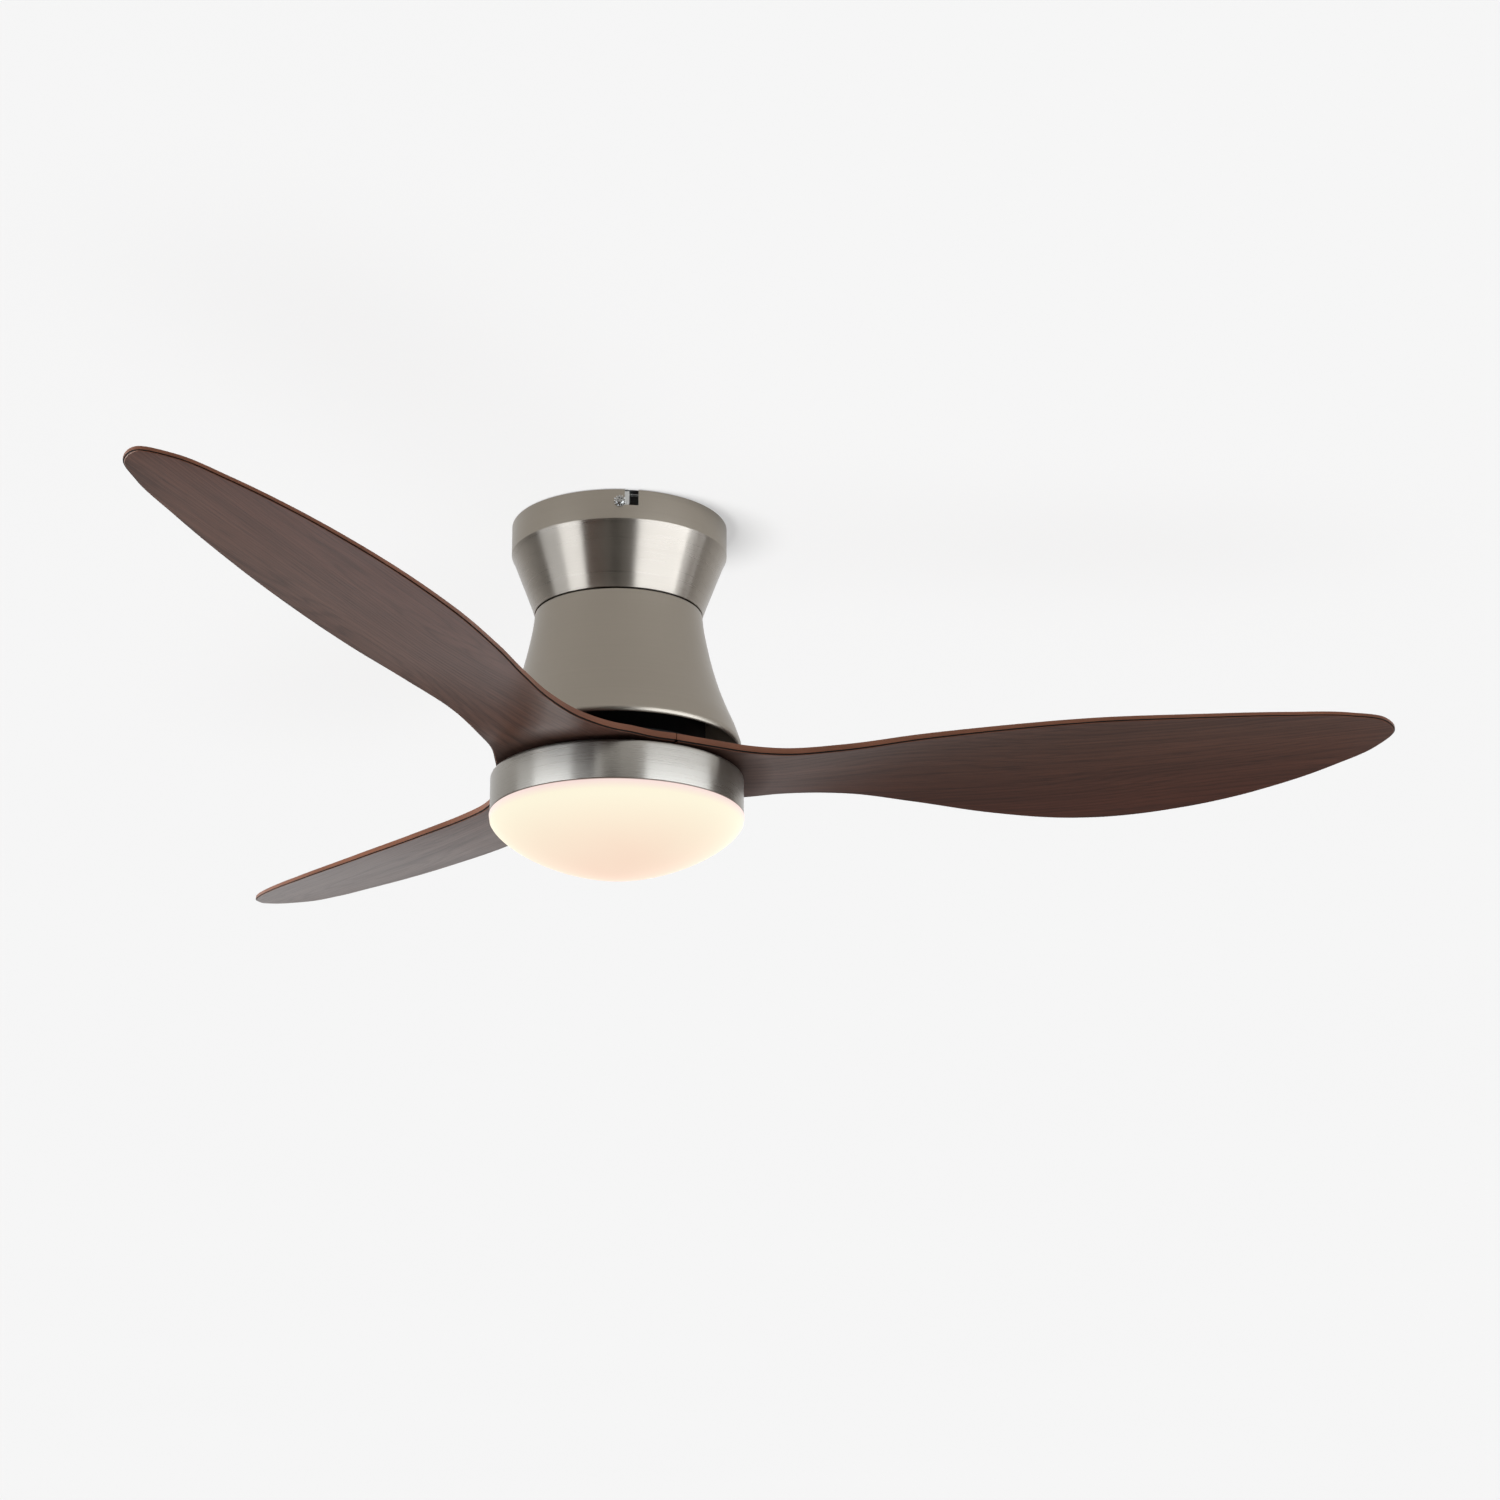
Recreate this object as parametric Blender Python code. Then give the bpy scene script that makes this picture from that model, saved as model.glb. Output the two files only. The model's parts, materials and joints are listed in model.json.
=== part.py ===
"""Low-profile ceiling fan with three twisted walnut blades and an LED light.

Every sub-part is one object, named as the piece it is. The origin is the centre of the
ceiling face: +Z points up into the ceiling, and the fan hangs along -Z. Lengths in this
script are millimetres, and the meshes are scaled to metres when they are made. One empty
on the fan's axis carries each group of pieces that moves together.
"""
import math

import bmesh
import bpy
from mathutils import Matrix, Vector
from mathutils.geometry import tessellate_polygon

MM = 0.001
GAP = 0.3                    # clearance between pieces that rest on each other
HOLE_GAP = 0.3               # radial clearance of a screw or shaft in its hole
SHELL_SIDES = 32             # facets of the large turned shells
ROTOR_SIDES = 24
BEARING_SIDES = 20
SMALL_SIDES = 12
SCREW_SIDES = 8

# Ceiling bracket
BRACKET_RADIUS = 80.0
BRACKET_THICKNESS = 2.0
TAB_HALF_WIDTH = 8.0
TAB_REACH = 89.3
TAB_THICKNESS = 1.8
WIRE_HOLE_RADIUS = 12.0
WIRE_HOLE_Y = 45.0
SLOT_LENGTH = 18.0
SLOT_WIDTH = 5.5
SLOT_OFFSET = 45.0
YOKE_BOLT_X = 58.0
YOKE_BOLT_RADIUS = 3.0

# Canopy: an upright band over a cone that narrows to the waist
CANOPY_RADIUS = 91.9
CANOPY_WALL = 1.0
CANOPY_RIM_Z = -0.5
WAIST_Z = -79.5
CANOPY_PROFILE = ((91.9, -0.5), (91.8, -26.3), (90.0, -30.0), (78.4, -60.0), (74.6, -70.0), (71.6, -79.5))
CANOPY_SCREW_Z = -11.2
CANOPY_SCREW_RADIUS = 2.0
CANOPY_SLOT_HALF_HEIGHT = 3.2
CANOPY_SLOT_LEG = (4.0, 15.5)

# Hanger frame between the bracket and the motor
HANGER_RADIUS = 68.0
HANGER_TOP_Z = -81.5
HANGER_THICKNESS = 2.5
HANGER_LEG_X = 40.0
HANGER_FOOT_TOP_Z = -8.0
HOUSING_SCREW_RADIUS = 59.5

# Motor housing: a bell that flares from the waist to a rolled lip
HOUSING_WALL = 1.0
HOUSING_TOP_Z = -80.3
HOUSING_PROFILE = ((71.2, -81.0), (74.6, -105.0), (80.5, -130.0), (88.3, -155.0),
                   (98.8, -180.0), (104.1, -195.0))
HOUSING_LIP_Z = -199.0

# Shaft, bearings and motor
SHAFT_RADIUS = 8.5
SHAFT_BORE = 5.5
SHAFT_TOP_Z = -70.0
SHAFT_BOTTOM_Z = -236.0
BEARING_WIDTH = 12.0
UPPER_BEARING_Z = -142.0
LOWER_BEARING_Z = -196.0
INNER_RACE = (SHAFT_RADIUS + HOLE_GAP, 11.5)
OUTER_RACE = (17.0, 20.0)
BALL_PITCH_RADIUS = 14.25
BALL_RADIUS = 2.4
BALL_COUNT = 7
STATOR_Z = (-179.0, -157.0)
STATOR_RADIUS = 62.5
TOOTH_COUNT = 12
COIL_Z = (-183.0, -153.0)
ROTOR_RADIUS = 74.0
ROTOR_SPLIT_Z = -168.0

# Blades: each is a third of the hub plate and a long twisted wing, in blade coordinates
BLADE_COUNT = 3
BLADE_REST_ANGLE = math.radians(-1.35)
BLADE_HUB_RADIUS = 34.0
BLADE_HUB_Z = -216.6
BLADE_SEAM_RADIUS = 100.5
BLADE_SEAM_GAP = 0.4
BLADE_ROOT_THICKNESS = 7.0
BLADE_TIP_THICKNESS = 3.6
BLADE_SCREW_RADIUS = 70.0
BLADE_SCREW_ANGLE = math.radians(15.0)
BLADE_TIP = (660.0, 16.8, -173.9)
# (distance from the fan's axis, sideways reach, height) down each edge, from hub to tip
HIGH_EDGE = ((80.0, -70.4, -216.5), (105.0, -57.3, -216.3), (140.0, -47.1, -215.6), (190.0, -41.0, -209.7),
             (250.0, -45.3, -202.2), (320.0, -49.7, -195.3), (400.0, -49.3, -187.8), (480.0, -42.4, -182.0),
             (560.0, -31.4, -176.0), (615.0, -20.6, -172.5), (648.0, -5.5, -171.6))
LOW_EDGE = ((62.0, 78.0, -216.8), (105.0, 61.3, -218.6), (140.0, 52.0, -218.2), (190.0, 53.4, -217.6),
            (250.0, 68.6, -220.2), (320.0, 89.8, -224.0), (400.0, 105.4, -224.0), (480.0, 104.2, -216.3),
            (560.0, 86.6, -202.6), (615.0, 62.5, -189.6), (648.0, 40.0, -180.0))

# Light kit under the blades
RING_RADIUS = 106.1
RING_WALL = 1.0
RING_TOP_Z = -224.0
RING_BOTTOM_Z = -257.1
PAN_TOP_Z = -225.3
PAN_THICKNESS = 1.5
LEDGE_Z = (-250.5, -249.0)
LEDGE_RADIUS = 96.5
LUG_HALF_ANGLE = math.radians(6.0)
LEDGE_GAP_HALF_ANGLE = math.radians(10.0)
DIFFUSER_TWIST = math.radians(25.0)
DOME_RADIUS = 106.6
DOME_RIM_Z = -257.5
DOME_SPRING_Z = -261.5
DOME_APEX_Z = -309.5
DOME_WALL = 2.5

# Finish: linear base colour, roughness, metallic
FINISHES = {
    "satin_nickel": ((0.255, 0.228, 0.196), 0.34, 1.0),
    "walnut": ((0.068, 0.034, 0.022), 0.45, 0.0),
    "opal": ((0.93, 0.85, 0.74), 0.35, 0.0),
    "black_steel": ((0.018, 0.018, 0.02), 0.5, 0.3),
    "zinc_steel": ((0.52, 0.52, 0.5), 0.38, 1.0),
    "bright_steel": ((0.66, 0.66, 0.66), 0.18, 1.0),
    "cast_aluminium": ((0.5, 0.5, 0.51), 0.45, 1.0),
    "black_cast": ((0.02, 0.02, 0.022), 0.6, 0.0),
    "lamination_steel": ((0.2, 0.2, 0.21), 0.5, 0.9),
    "copper": ((0.62, 0.27, 0.14), 0.35, 0.9),
    "ferrite": ((0.05, 0.05, 0.055), 0.6, 0.2),
    "rubber": ((0.025, 0.025, 0.025), 0.8, 0.0),
    "white_plastic": ((0.78, 0.78, 0.76), 0.45, 0.0),
    "board_white": ((0.85, 0.86, 0.84), 0.4, 0.0),
    "clear_lens": ((0.9, 0.92, 0.93), 0.1, 0.0),
    "lead_sheath": ((0.7, 0.7, 0.68), 0.5, 0.0),
}


# ---------------------------------------------------------------- building tools

def clear_scene():
    for old in list(bpy.data.objects):
        bpy.data.objects.remove(old, do_unlink=True)


def make_material(name, finish):
    colour, roughness, metallic = FINISHES[finish]
    material = bpy.data.materials.new(name)
    material.use_nodes = True
    shader = material.node_tree.nodes["Principled BSDF"]
    shader.inputs["Base Color"].default_value = (*colour, 1.0)
    shader.inputs["Roughness"].default_value = roughness
    shader.inputs["Metallic"].default_value = metallic
    return material


def add_object(name, mesh, finish, body, location=(0, 0, 0), rotation=(0, 0, 0)):
    """Links a mesh as a named piece of a body; the location is in millimetres."""
    mesh.name = name
    mesh.shade_smooth()
    mesh.set_sharp_from_angle(angle=math.radians(35.0))
    mesh.materials.append(make_material(name, finish))
    piece = bpy.data.objects.new(name, mesh)
    piece.location = Vector(location) * MM
    piece.rotation_euler = rotation
    piece.parent = body
    bpy.context.scene.collection.objects.link(piece)
    return piece


def add_body(name):
    """An empty on the fan's axis that carries the pieces of one rigid body."""
    body = bpy.data.objects.new(name, None)
    body.empty_display_size = 0.05
    bpy.context.scene.collection.objects.link(body)
    return body


def add_tool(name, mesh, body, location=(0, 0, 0), rotation=(0, 0, 0)):
    """A hidden solid that a Boolean cuts away or joins on."""
    tool = bpy.data.objects.new(name, mesh)
    tool.location = Vector(location) * MM
    tool.rotation_euler = rotation
    tool.parent = body
    tool.hide_render = True
    tool.display_type = "WIRE"
    bpy.context.scene.collection.objects.link(tool)
    return tool


def combine(piece, tool, operation):
    modifier = piece.modifiers.new(tool.name, "BOOLEAN")
    modifier.operation = operation
    modifier.solver = "EXACT"
    modifier.object = tool


def mesh_from(vertices, faces):
    """A closed mesh in metres, with its faces turned outward."""
    shape = bmesh.new()
    corners = [shape.verts.new(Vector(vertex) * MM) for vertex in vertices]
    for face in faces:
        shape.faces.new([corners[index] for index in face])
    bmesh.ops.recalc_face_normals(shape, faces=shape.faces)
    mesh = bpy.data.meshes.new("mesh")
    shape.to_mesh(mesh)
    shape.free()
    return mesh


def turned(outline, sides):
    """Revolves a closed (radius, height) outline about Z; radius 0 makes a pole."""
    vertices = []
    rings = []
    for radius, height in outline:
        count = 1 if radius == 0 else sides
        first = len(vertices)
        for step in range(count):
            angle = 2 * math.pi * step / sides
            vertices.append((radius * math.cos(angle), radius * math.sin(angle), height))
        rings.append([first + step % count for step in range(sides)])
    faces = []
    for ring, following in zip(rings, rings[1:] + rings[:1]):
        if ring[0] == ring[1] and following[0] == following[1]:
            continue
        for step in range(sides):
            after = (step + 1) % sides
            corners = (ring[step], ring[after], following[after], following[step])
            faces.append(tuple(dict.fromkeys(corners)))
    return mesh_from(vertices, faces)


def plate(outer, holes, bottom, top):
    """Extrudes a flat outline with holes between two heights."""
    loops = [outer] + list(holes)
    flat = [point for loop in loops for point in loop]
    count = len(flat)
    vertices = [(x, y, bottom) for x, y in flat] + [(x, y, top) for x, y in flat]
    faces = []
    for corners in tessellate_polygon([[Vector((x, y, 0)) for x, y in loop] for loop in loops]):
        faces.append(tuple(corners))
        faces.append(tuple(index + count for index in corners))
    first = 0
    for loop in loops:
        size = len(loop)
        for step in range(size):
            here = first + step
            after = first + (step + 1) % size
            faces.append((here, after, after + count, here + count))
        first += size
    return mesh_from(vertices, faces)


def arc(radius, start, end, count, centre=(0, 0)):
    """Points on a circular arc, both ends included."""
    points = []
    for step in range(count + 1):
        angle = start + (end - start) * step / count
        points.append((centre[0] + radius * math.cos(angle), centre[1] + radius * math.sin(angle)))
    return points


def circle(radius, sides, centre=(0, 0)):
    return arc(radius, 0, 2 * math.pi, sides, centre)[:-1]


def rectangle(low_x, high_x, low_y, high_y):
    return [(low_x, low_y), (high_x, low_y), (high_x, high_y), (low_x, high_y)]


def polar(radius, angle, height=0.0):
    return (radius * math.cos(angle), radius * math.sin(angle), height)


def smooth_curve(points, steps):
    """A curve through the points, with tangents weighted by the chord lengths."""
    points = [Vector(point) for point in points]
    chords = [(after - here).length for here, after in zip(points, points[1:])]
    tangents = [(points[1] - points[0]) / chords[0]]
    for index in range(1, len(points) - 1):
        before = (points[index] - points[index - 1]) / chords[index - 1]
        after = (points[index + 1] - points[index]) / chords[index]
        share = chords[index] / (chords[index - 1] + chords[index])
        tangents.append(before * share + after * (1 - share))
    tangents.append((points[-1] - points[-2]) / chords[-1])
    curve = []
    for index, chord in enumerate(chords):
        for step in range(steps):
            t = step / steps
            curve.append(points[index] * (2 * t**3 - 3 * t**2 + 1)
                         + tangents[index] * chord * (t**3 - 2 * t**2 + t)
                         + points[index + 1] * (3 * t**2 - 2 * t**3)
                         + tangents[index + 1] * chord * (t**3 - t**2))
    curve.append(points[-1])
    return curve


def shell_outline(profile, wall):
    """The inner side of a thin shell, from its outer (radius, height) profile, bottom to top."""
    inner = []
    for index in range(len(profile)):
        before = Vector(profile[max(index - 1, 0)])
        after = Vector(profile[min(index + 1, len(profile) - 1)])
        along = (after - before).normalized()
        inner.append((profile[index][0] + along.y * wall, profile[index][1] - along.x * wall))
    return inner[::-1]


def screw_mesh(shank_radius, shank_length, head_radius, head_height):
    """A screw that points up +Z from the underside of its head, which is at height 0."""
    outline = ((0, shank_length), (shank_radius, shank_length), (shank_radius, 0), (head_radius, 0),
               (head_radius - head_height * 0.2, -head_height), (0, -head_height))
    return turned(outline, SCREW_SIDES)


def tube(name, route, radius, finish, body):
    """A round lead along a route."""
    curve = bpy.data.curves.new(name, "CURVE")
    curve.dimensions = "3D"
    curve.bevel_depth = radius * MM
    curve.bevel_resolution = 1
    curve.use_fill_caps = True
    spline = curve.splines.new("POLY")
    spline.points.add(len(route) - 1)
    for point, place in zip(spline.points, route):
        point.co = (*(Vector(place) * MM), 1.0)
    curve.materials.append(make_material(name, finish))
    lead = bpy.data.objects.new(name, curve)
    lead.parent = body
    bpy.context.scene.collection.objects.link(lead)
    return lead


# ---------------------------------------------------------------- ceiling mounting

def build_bracket(body):
    arm = TAB_HALF_WIDTH + 0.5
    reach = TAB_REACH + 0.15
    arm_angle = math.asin(arm / BRACKET_RADIUS)
    outer = arc(BRACKET_RADIUS, -math.pi / 2 + arm_angle, math.pi / 2 - arm_angle, 14)
    outer += [(arm, reach), (-arm, reach)]
    outer += arc(BRACKET_RADIUS, math.pi / 2 + arm_angle, 3 * math.pi / 2 - arm_angle, 14)
    outer += [(-arm, -reach), (arm, -reach)]
    holes = [circle(WIRE_HOLE_RADIUS, SMALL_SIDES, (0, WIRE_HOLE_Y))]
    half_run = (SLOT_LENGTH - SLOT_WIDTH) / 2
    for x in (-SLOT_OFFSET, SLOT_OFFSET):
        holes.append(circle(YOKE_BOLT_RADIUS + HOLE_GAP, SCREW_SIDES, (math.copysign(YOKE_BOLT_X, x), 0)))
        for y in (-SLOT_OFFSET, SLOT_OFFSET):
            holes.append(arc(SLOT_WIDTH / 2, -math.pi / 2, math.pi / 2, 4, (x + half_run, y))
                         + arc(SLOT_WIDTH / 2, math.pi / 2, 3 * math.pi / 2, 4, (x - half_run, y)))
    bracket = add_object("ceiling_bracket", plate(outer, holes, -BRACKET_THICKNESS, 0),
                         "zinc_steel", body)
    outline = arc(TAB_HALF_WIDTH, math.pi, 2 * math.pi, 6, (0, CANOPY_SCREW_Z))
    outline += [(TAB_HALF_WIDTH, -BRACKET_THICKNESS / 2), (-TAB_HALF_WIDTH, -BRACKET_THICKNESS / 2)]
    for turn, name in ((0, "front"), (math.pi, "rear")):
        tab = add_tool(f"tab_{name}", plate(outline, [], TAB_REACH - TAB_THICKNESS, TAB_REACH), body,
                       (0, 0, 0), (math.pi / 2, 0, turn))
        combine(bracket, tab, "UNION")
    hole = turned(((0, -95), (CANOPY_SCREW_RADIUS + HOLE_GAP, -95),
                   (CANOPY_SCREW_RADIUS + HOLE_GAP, 95), (0, 95)), SCREW_SIDES)
    combine(bracket, add_tool("tab_screw_hole", hole, body, (0, 0, CANOPY_SCREW_Z),
                              (math.pi / 2, 0, 0)), "DIFFERENCE")


def build_hanger(body):
    bottom = HANGER_TOP_Z - HANGER_THICKNESS
    holes = [circle(SHAFT_RADIUS + HOLE_GAP, SMALL_SIDES)]
    for index in range(3):
        centre = polar(HOUSING_SCREW_RADIUS, housing_screw_angle(index))[:2]
        holes.append(circle(1.6 + HOLE_GAP, SCREW_SIDES, centre))
    hanger = add_object("hanger_frame", plate(circle(HANGER_RADIUS, ROTOR_SIDES), holes, bottom, HANGER_TOP_Z),
                        "zinc_steel", body)
    foot_bottom = HANGER_FOOT_TOP_Z - HANGER_THICKNESS
    leg_outer = HANGER_LEG_X + HANGER_THICKNESS
    leg_outline = [(HANGER_LEG_X, bottom + 1), (leg_outer, bottom + 1), (leg_outer, foot_bottom),
                   (YOKE_BOLT_X + 8, foot_bottom), (YOKE_BOLT_X + 8, HANGER_FOOT_TOP_Z),
                   (HANGER_LEG_X, HANGER_FOOT_TOP_Z)]
    leg = plate(leg_outline, [], -12, 12)
    hole = turned(((0, -20), (YOKE_BOLT_RADIUS + HOLE_GAP, -20),
                   (YOKE_BOLT_RADIUS + HOLE_GAP, 0), (0, 0)), SCREW_SIDES)
    for turn, name in ((0, "right"), (math.pi, "left")):
        combine(hanger, add_tool(f"leg_{name}", leg, body, rotation=(math.pi / 2, 0, turn)), "UNION")
        combine(hanger, add_tool(f"foot_hole_{name}", hole, body, polar(YOKE_BOLT_X, turn)), "DIFFERENCE")


def build_yoke_mounts(body):
    top = -BRACKET_THICKNESS - GAP
    bottom = HANGER_FOOT_TOP_Z + GAP
    middle = (top + bottom) / 2
    bore = YOKE_BOLT_RADIUS + HOLE_GAP + 0.1
    damper = ((bore, top), (9.0, top), (7.6, middle), (9.0, bottom), (bore, bottom))
    head_z = HANGER_FOOT_TOP_Z - HANGER_THICKNESS - GAP
    for turn, side in ((0, "right"), (math.pi, "left")):
        place = polar(YOKE_BOLT_X, turn)
        add_object(f"damper_{side}", turned(damper, SMALL_SIDES), "rubber", body, place)
        add_object(f"yoke_bolt_{side}", screw_mesh(YOKE_BOLT_RADIUS, -GAP - head_z, 6.0, 4.0),
                   "zinc_steel", body, (place[0], place[1], head_z))


def build_canopy_fasteners(body):
    washer_teeth = 12
    star = []
    for index in range(2 * washer_teeth):
        radius = 5.0 if index % 2 else 4.2
        star.append(polar(radius, math.pi * index / washer_teeth)[:2])
    washer = plate(star, [circle(CANOPY_SCREW_RADIUS + HOLE_GAP, SCREW_SIDES)], 0, 0.8)
    washer_y = CANOPY_RADIUS + GAP
    head_y = washer_y + 0.8 + GAP
    for side, name in ((-1, "front"), (1, "rear")):
        outward = (math.pi / 2, 0, 0 if side < 0 else math.pi)
        inward = (math.pi / 2, 0, math.pi if side < 0 else 0)
        add_object(f"lock_washer_{name}", washer.copy(), "bright_steel", body,
                   (0, side * washer_y, CANOPY_SCREW_Z), outward)
        add_object(f"canopy_screw_{name}", screw_mesh(CANOPY_SCREW_RADIUS, 7.5, 4.0, 2.3),
                   "bright_steel", body, (0, side * head_y, CANOPY_SCREW_Z), inward)


def build_electrics(body):
    top = -BRACKET_THICKNESS - GAP
    receiver = plate(rectangle(-37.5, 37.5, -32, 22), [], -24.5, top)
    box = add_object("receiver_box", receiver, "white_plastic", body)
    bevel = box.modifiers.new("edges", "BEVEL")
    bevel.width = 1.5 * MM
    bevel.segments = 1
    comb = [(-18, -14)]
    for x in (-12, 0, 12):
        comb += [(x - 4, -14), (x - 4, -11), (x + 4, -11), (x + 4, -14)]
    comb += [(18, -14), (18, top), (-18, top)]
    add_object("terminal_block", plate(comb, [], 44, 60), "white_plastic", body,
               rotation=(math.pi / 2, 0, 0))
    tube("terminal_lead", [(0, -32 - GAP, -8), (0, -38, -8.6), (0, -44 + GAP, -8)],
         1.5, "lead_sheath", body)
    lead_top = -24.5 - GAP
    exit_z = -153.7
    motor_route = [(-2.5, 0, lead_top), (-2.5, 0, -110), (-2.5, 0, -148), (-3.4, 0, -152),
                   (-6.5, 0, exit_z), (-20, 0, exit_z), (-34.6, 0, exit_z)]
    tube("motor_lead", motor_route, 1.2, "lead_sheath", body)
    light_route = smooth_curve([(2.5, 0, -232), (2.5, 1.5, -240), (2.5, 9, -244), (2.5, 20 - GAP, -242)], 3)
    tube("light_lead", [(2.5, 0, lead_top), (2.5, 0, -130)] + light_route, 1.2, "lead_sheath", body)


# ---------------------------------------------------------------- canopy

def build_canopy(body):
    inner = shell_outline(CANOPY_PROFILE, CANOPY_WALL)
    flange_top = WAIST_Z + 0.9
    inner[0] = (inner[0][0] + 0.4, flange_top)
    inner[-1] = (CANOPY_RADIUS - CANOPY_WALL, CANOPY_RIM_Z)
    outline = list(CANOPY_PROFILE) + [(66.5, WAIST_Z), (66.5, flange_top)] + inner
    canopy = add_object("canopy", turned(outline, SHELL_SIDES), "satin_nickel", body)
    half = CANOPY_SLOT_HALF_HEIGHT
    leg_left, leg_right = CANOPY_SLOT_LEG
    slot = arc(half, math.pi / 2, 3 * math.pi / 2, 6)
    slot += [(leg_right, -half), (leg_right, 15), (leg_left, 15), (leg_left, half)]
    for turn, name in ((0, "front"), (math.pi, "rear")):
        tool = add_tool(f"canopy_slot_{name}", plate(slot, [], 84, 96), body,
                        (0, 0, CANOPY_SCREW_Z), (math.pi / 2, 0, turn))
        combine(canopy, tool, "DIFFERENCE")


# ---------------------------------------------------------------- motor

def housing_screw_angle(index):
    return math.radians(94.5 + 120 * index)


def build_housing(body):
    outer = list(HOUSING_PROFILE)
    lip_outer = [(104.0, -197.3), (103.2, -198.6), (102.0, HOUSING_LIP_Z)]
    lip_inner = [(101.2, -198.2), (101.5, -197.0), (102.9, -194.8)]
    inner = shell_outline(HOUSING_PROFILE, HOUSING_WALL)[1:]
    flange_bottom = HOUSING_TOP_Z - 0.9
    inner[-1] = (69.9, flange_bottom)
    top = [(56.0, flange_bottom), (56.0, HOUSING_TOP_Z), (70.4, HOUSING_TOP_Z)]
    housing = add_object("motor_housing", turned(top + outer + lip_outer + lip_inner + inner, SHELL_SIDES),
                         "satin_nickel", body)
    hole = turned(((0, -4), (1.6 + HOLE_GAP, -4), (1.6 + HOLE_GAP, 4), (0, 4)), SCREW_SIDES)
    for index in range(3):
        place = polar(HOUSING_SCREW_RADIUS, housing_screw_angle(index), HOUSING_TOP_Z)
        combine(housing, add_tool(f"housing_hole_{index + 1}", hole, body, place), "DIFFERENCE")
        add_object(f"housing_screw_{index + 1}", screw_mesh(1.6, 3.4, 3.4, 2.0), "zinc_steel", body,
                   (place[0], place[1], HOUSING_TOP_Z + GAP), (math.pi, 0, 0))


def build_shaft(body):
    shoulder_top = HANGER_TOP_Z - HANGER_THICKNESS - GAP
    shoulder_bottom = UPPER_BEARING_Z + BEARING_WIDTH / 2 + GAP
    outline = ((SHAFT_BORE, SHAFT_TOP_Z), (SHAFT_RADIUS, SHAFT_TOP_Z), (SHAFT_RADIUS, shoulder_top),
               (13.0, shoulder_top), (13.0, shoulder_top - 4), (10.5, shoulder_top - 4),
               (10.5, shoulder_bottom), (SHAFT_RADIUS, shoulder_bottom), (SHAFT_RADIUS, SHAFT_BOTTOM_Z),
               (SHAFT_BORE, SHAFT_BOTTOM_Z))
    shaft = add_object("motor_shaft", turned(outline, SMALL_SIDES), "bright_steel", body)
    lead_hole = turned(((0, -12), (2.2, -12), (2.2, -3.5), (0, -3.5)), SCREW_SIDES)
    tool = add_tool("shaft_lead_hole", lead_hole, body, (0, 0, -153.7), (0, math.pi / 2, 0))
    combine(shaft, tool, "DIFFERENCE")
    pan_bottom = PAN_TOP_Z - PAN_THICKNESS
    for name, bottom, top in (("shaft_nut_upper", HANGER_TOP_Z + GAP, HANGER_TOP_Z + 7),
                              ("shaft_nut_middle", PAN_TOP_Z + GAP, PAN_TOP_Z + 3.5),
                              ("shaft_nut_lower", pan_bottom - 7, pan_bottom - GAP)):
        nut = plate(circle(13.0, 6), [circle(SHAFT_RADIUS + HOLE_GAP, SMALL_SIDES)], bottom, top)
        add_object(name, nut, "zinc_steel", body)
    opening = math.radians(25)
    clip = arc(11.5, opening, 2 * math.pi - opening, 12)
    clip += arc(SHAFT_RADIUS + HOLE_GAP, 2 * math.pi - opening, opening, 12)
    clip_top = LOWER_BEARING_Z - BEARING_WIDTH / 2 - GAP
    add_object("retaining_ring", plate(clip, [], clip_top - 1.2, clip_top), "bright_steel", body)


def race_mesh(radii):
    half = BEARING_WIDTH / 2
    edge = 0.6
    inner, outer = radii
    outline = ((inner, -half), (outer - edge, -half), (outer, -half + edge),
               (outer, half - edge), (outer - edge, half), (inner, half))
    return turned(outline, BEARING_SIDES)


def cage_mesh():
    return turned(((13.3, -1.6), (15.2, -1.6), (15.2, 1.6), (13.3, 1.6)), 2 * BALL_COUNT)


def ball_set_mesh():
    """All the balls of one bearing, on the pitch circle."""
    shape = bmesh.new()
    for index in range(BALL_COUNT):
        centre = polar(BALL_PITCH_RADIUS, 2 * math.pi * (index + 0.25) / BALL_COUNT)
        bmesh.ops.create_uvsphere(shape, u_segments=6, v_segments=4, radius=BALL_RADIUS * MM,
                                  matrix=Matrix.Translation(Vector(centre) * MM))
    mesh = bpy.data.meshes.new("balls")
    shape.to_mesh(mesh)
    shape.free()
    return mesh


def build_bearing(level, height, fixed_body, rotor_body, cage_body):
    place = (0, 0, height)
    add_object(f"{level}_inner_race", race_mesh(INNER_RACE), "bright_steel", fixed_body, place)
    add_object(f"{level}_outer_race", race_mesh(OUTER_RACE), "bright_steel", rotor_body, place)
    cage = add_object(f"{level}_ball_cage", cage_mesh(), "bright_steel", cage_body, place)
    combine(cage, add_tool(f"{level}_balls", ball_set_mesh(), cage_body, place), "UNION")


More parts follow.
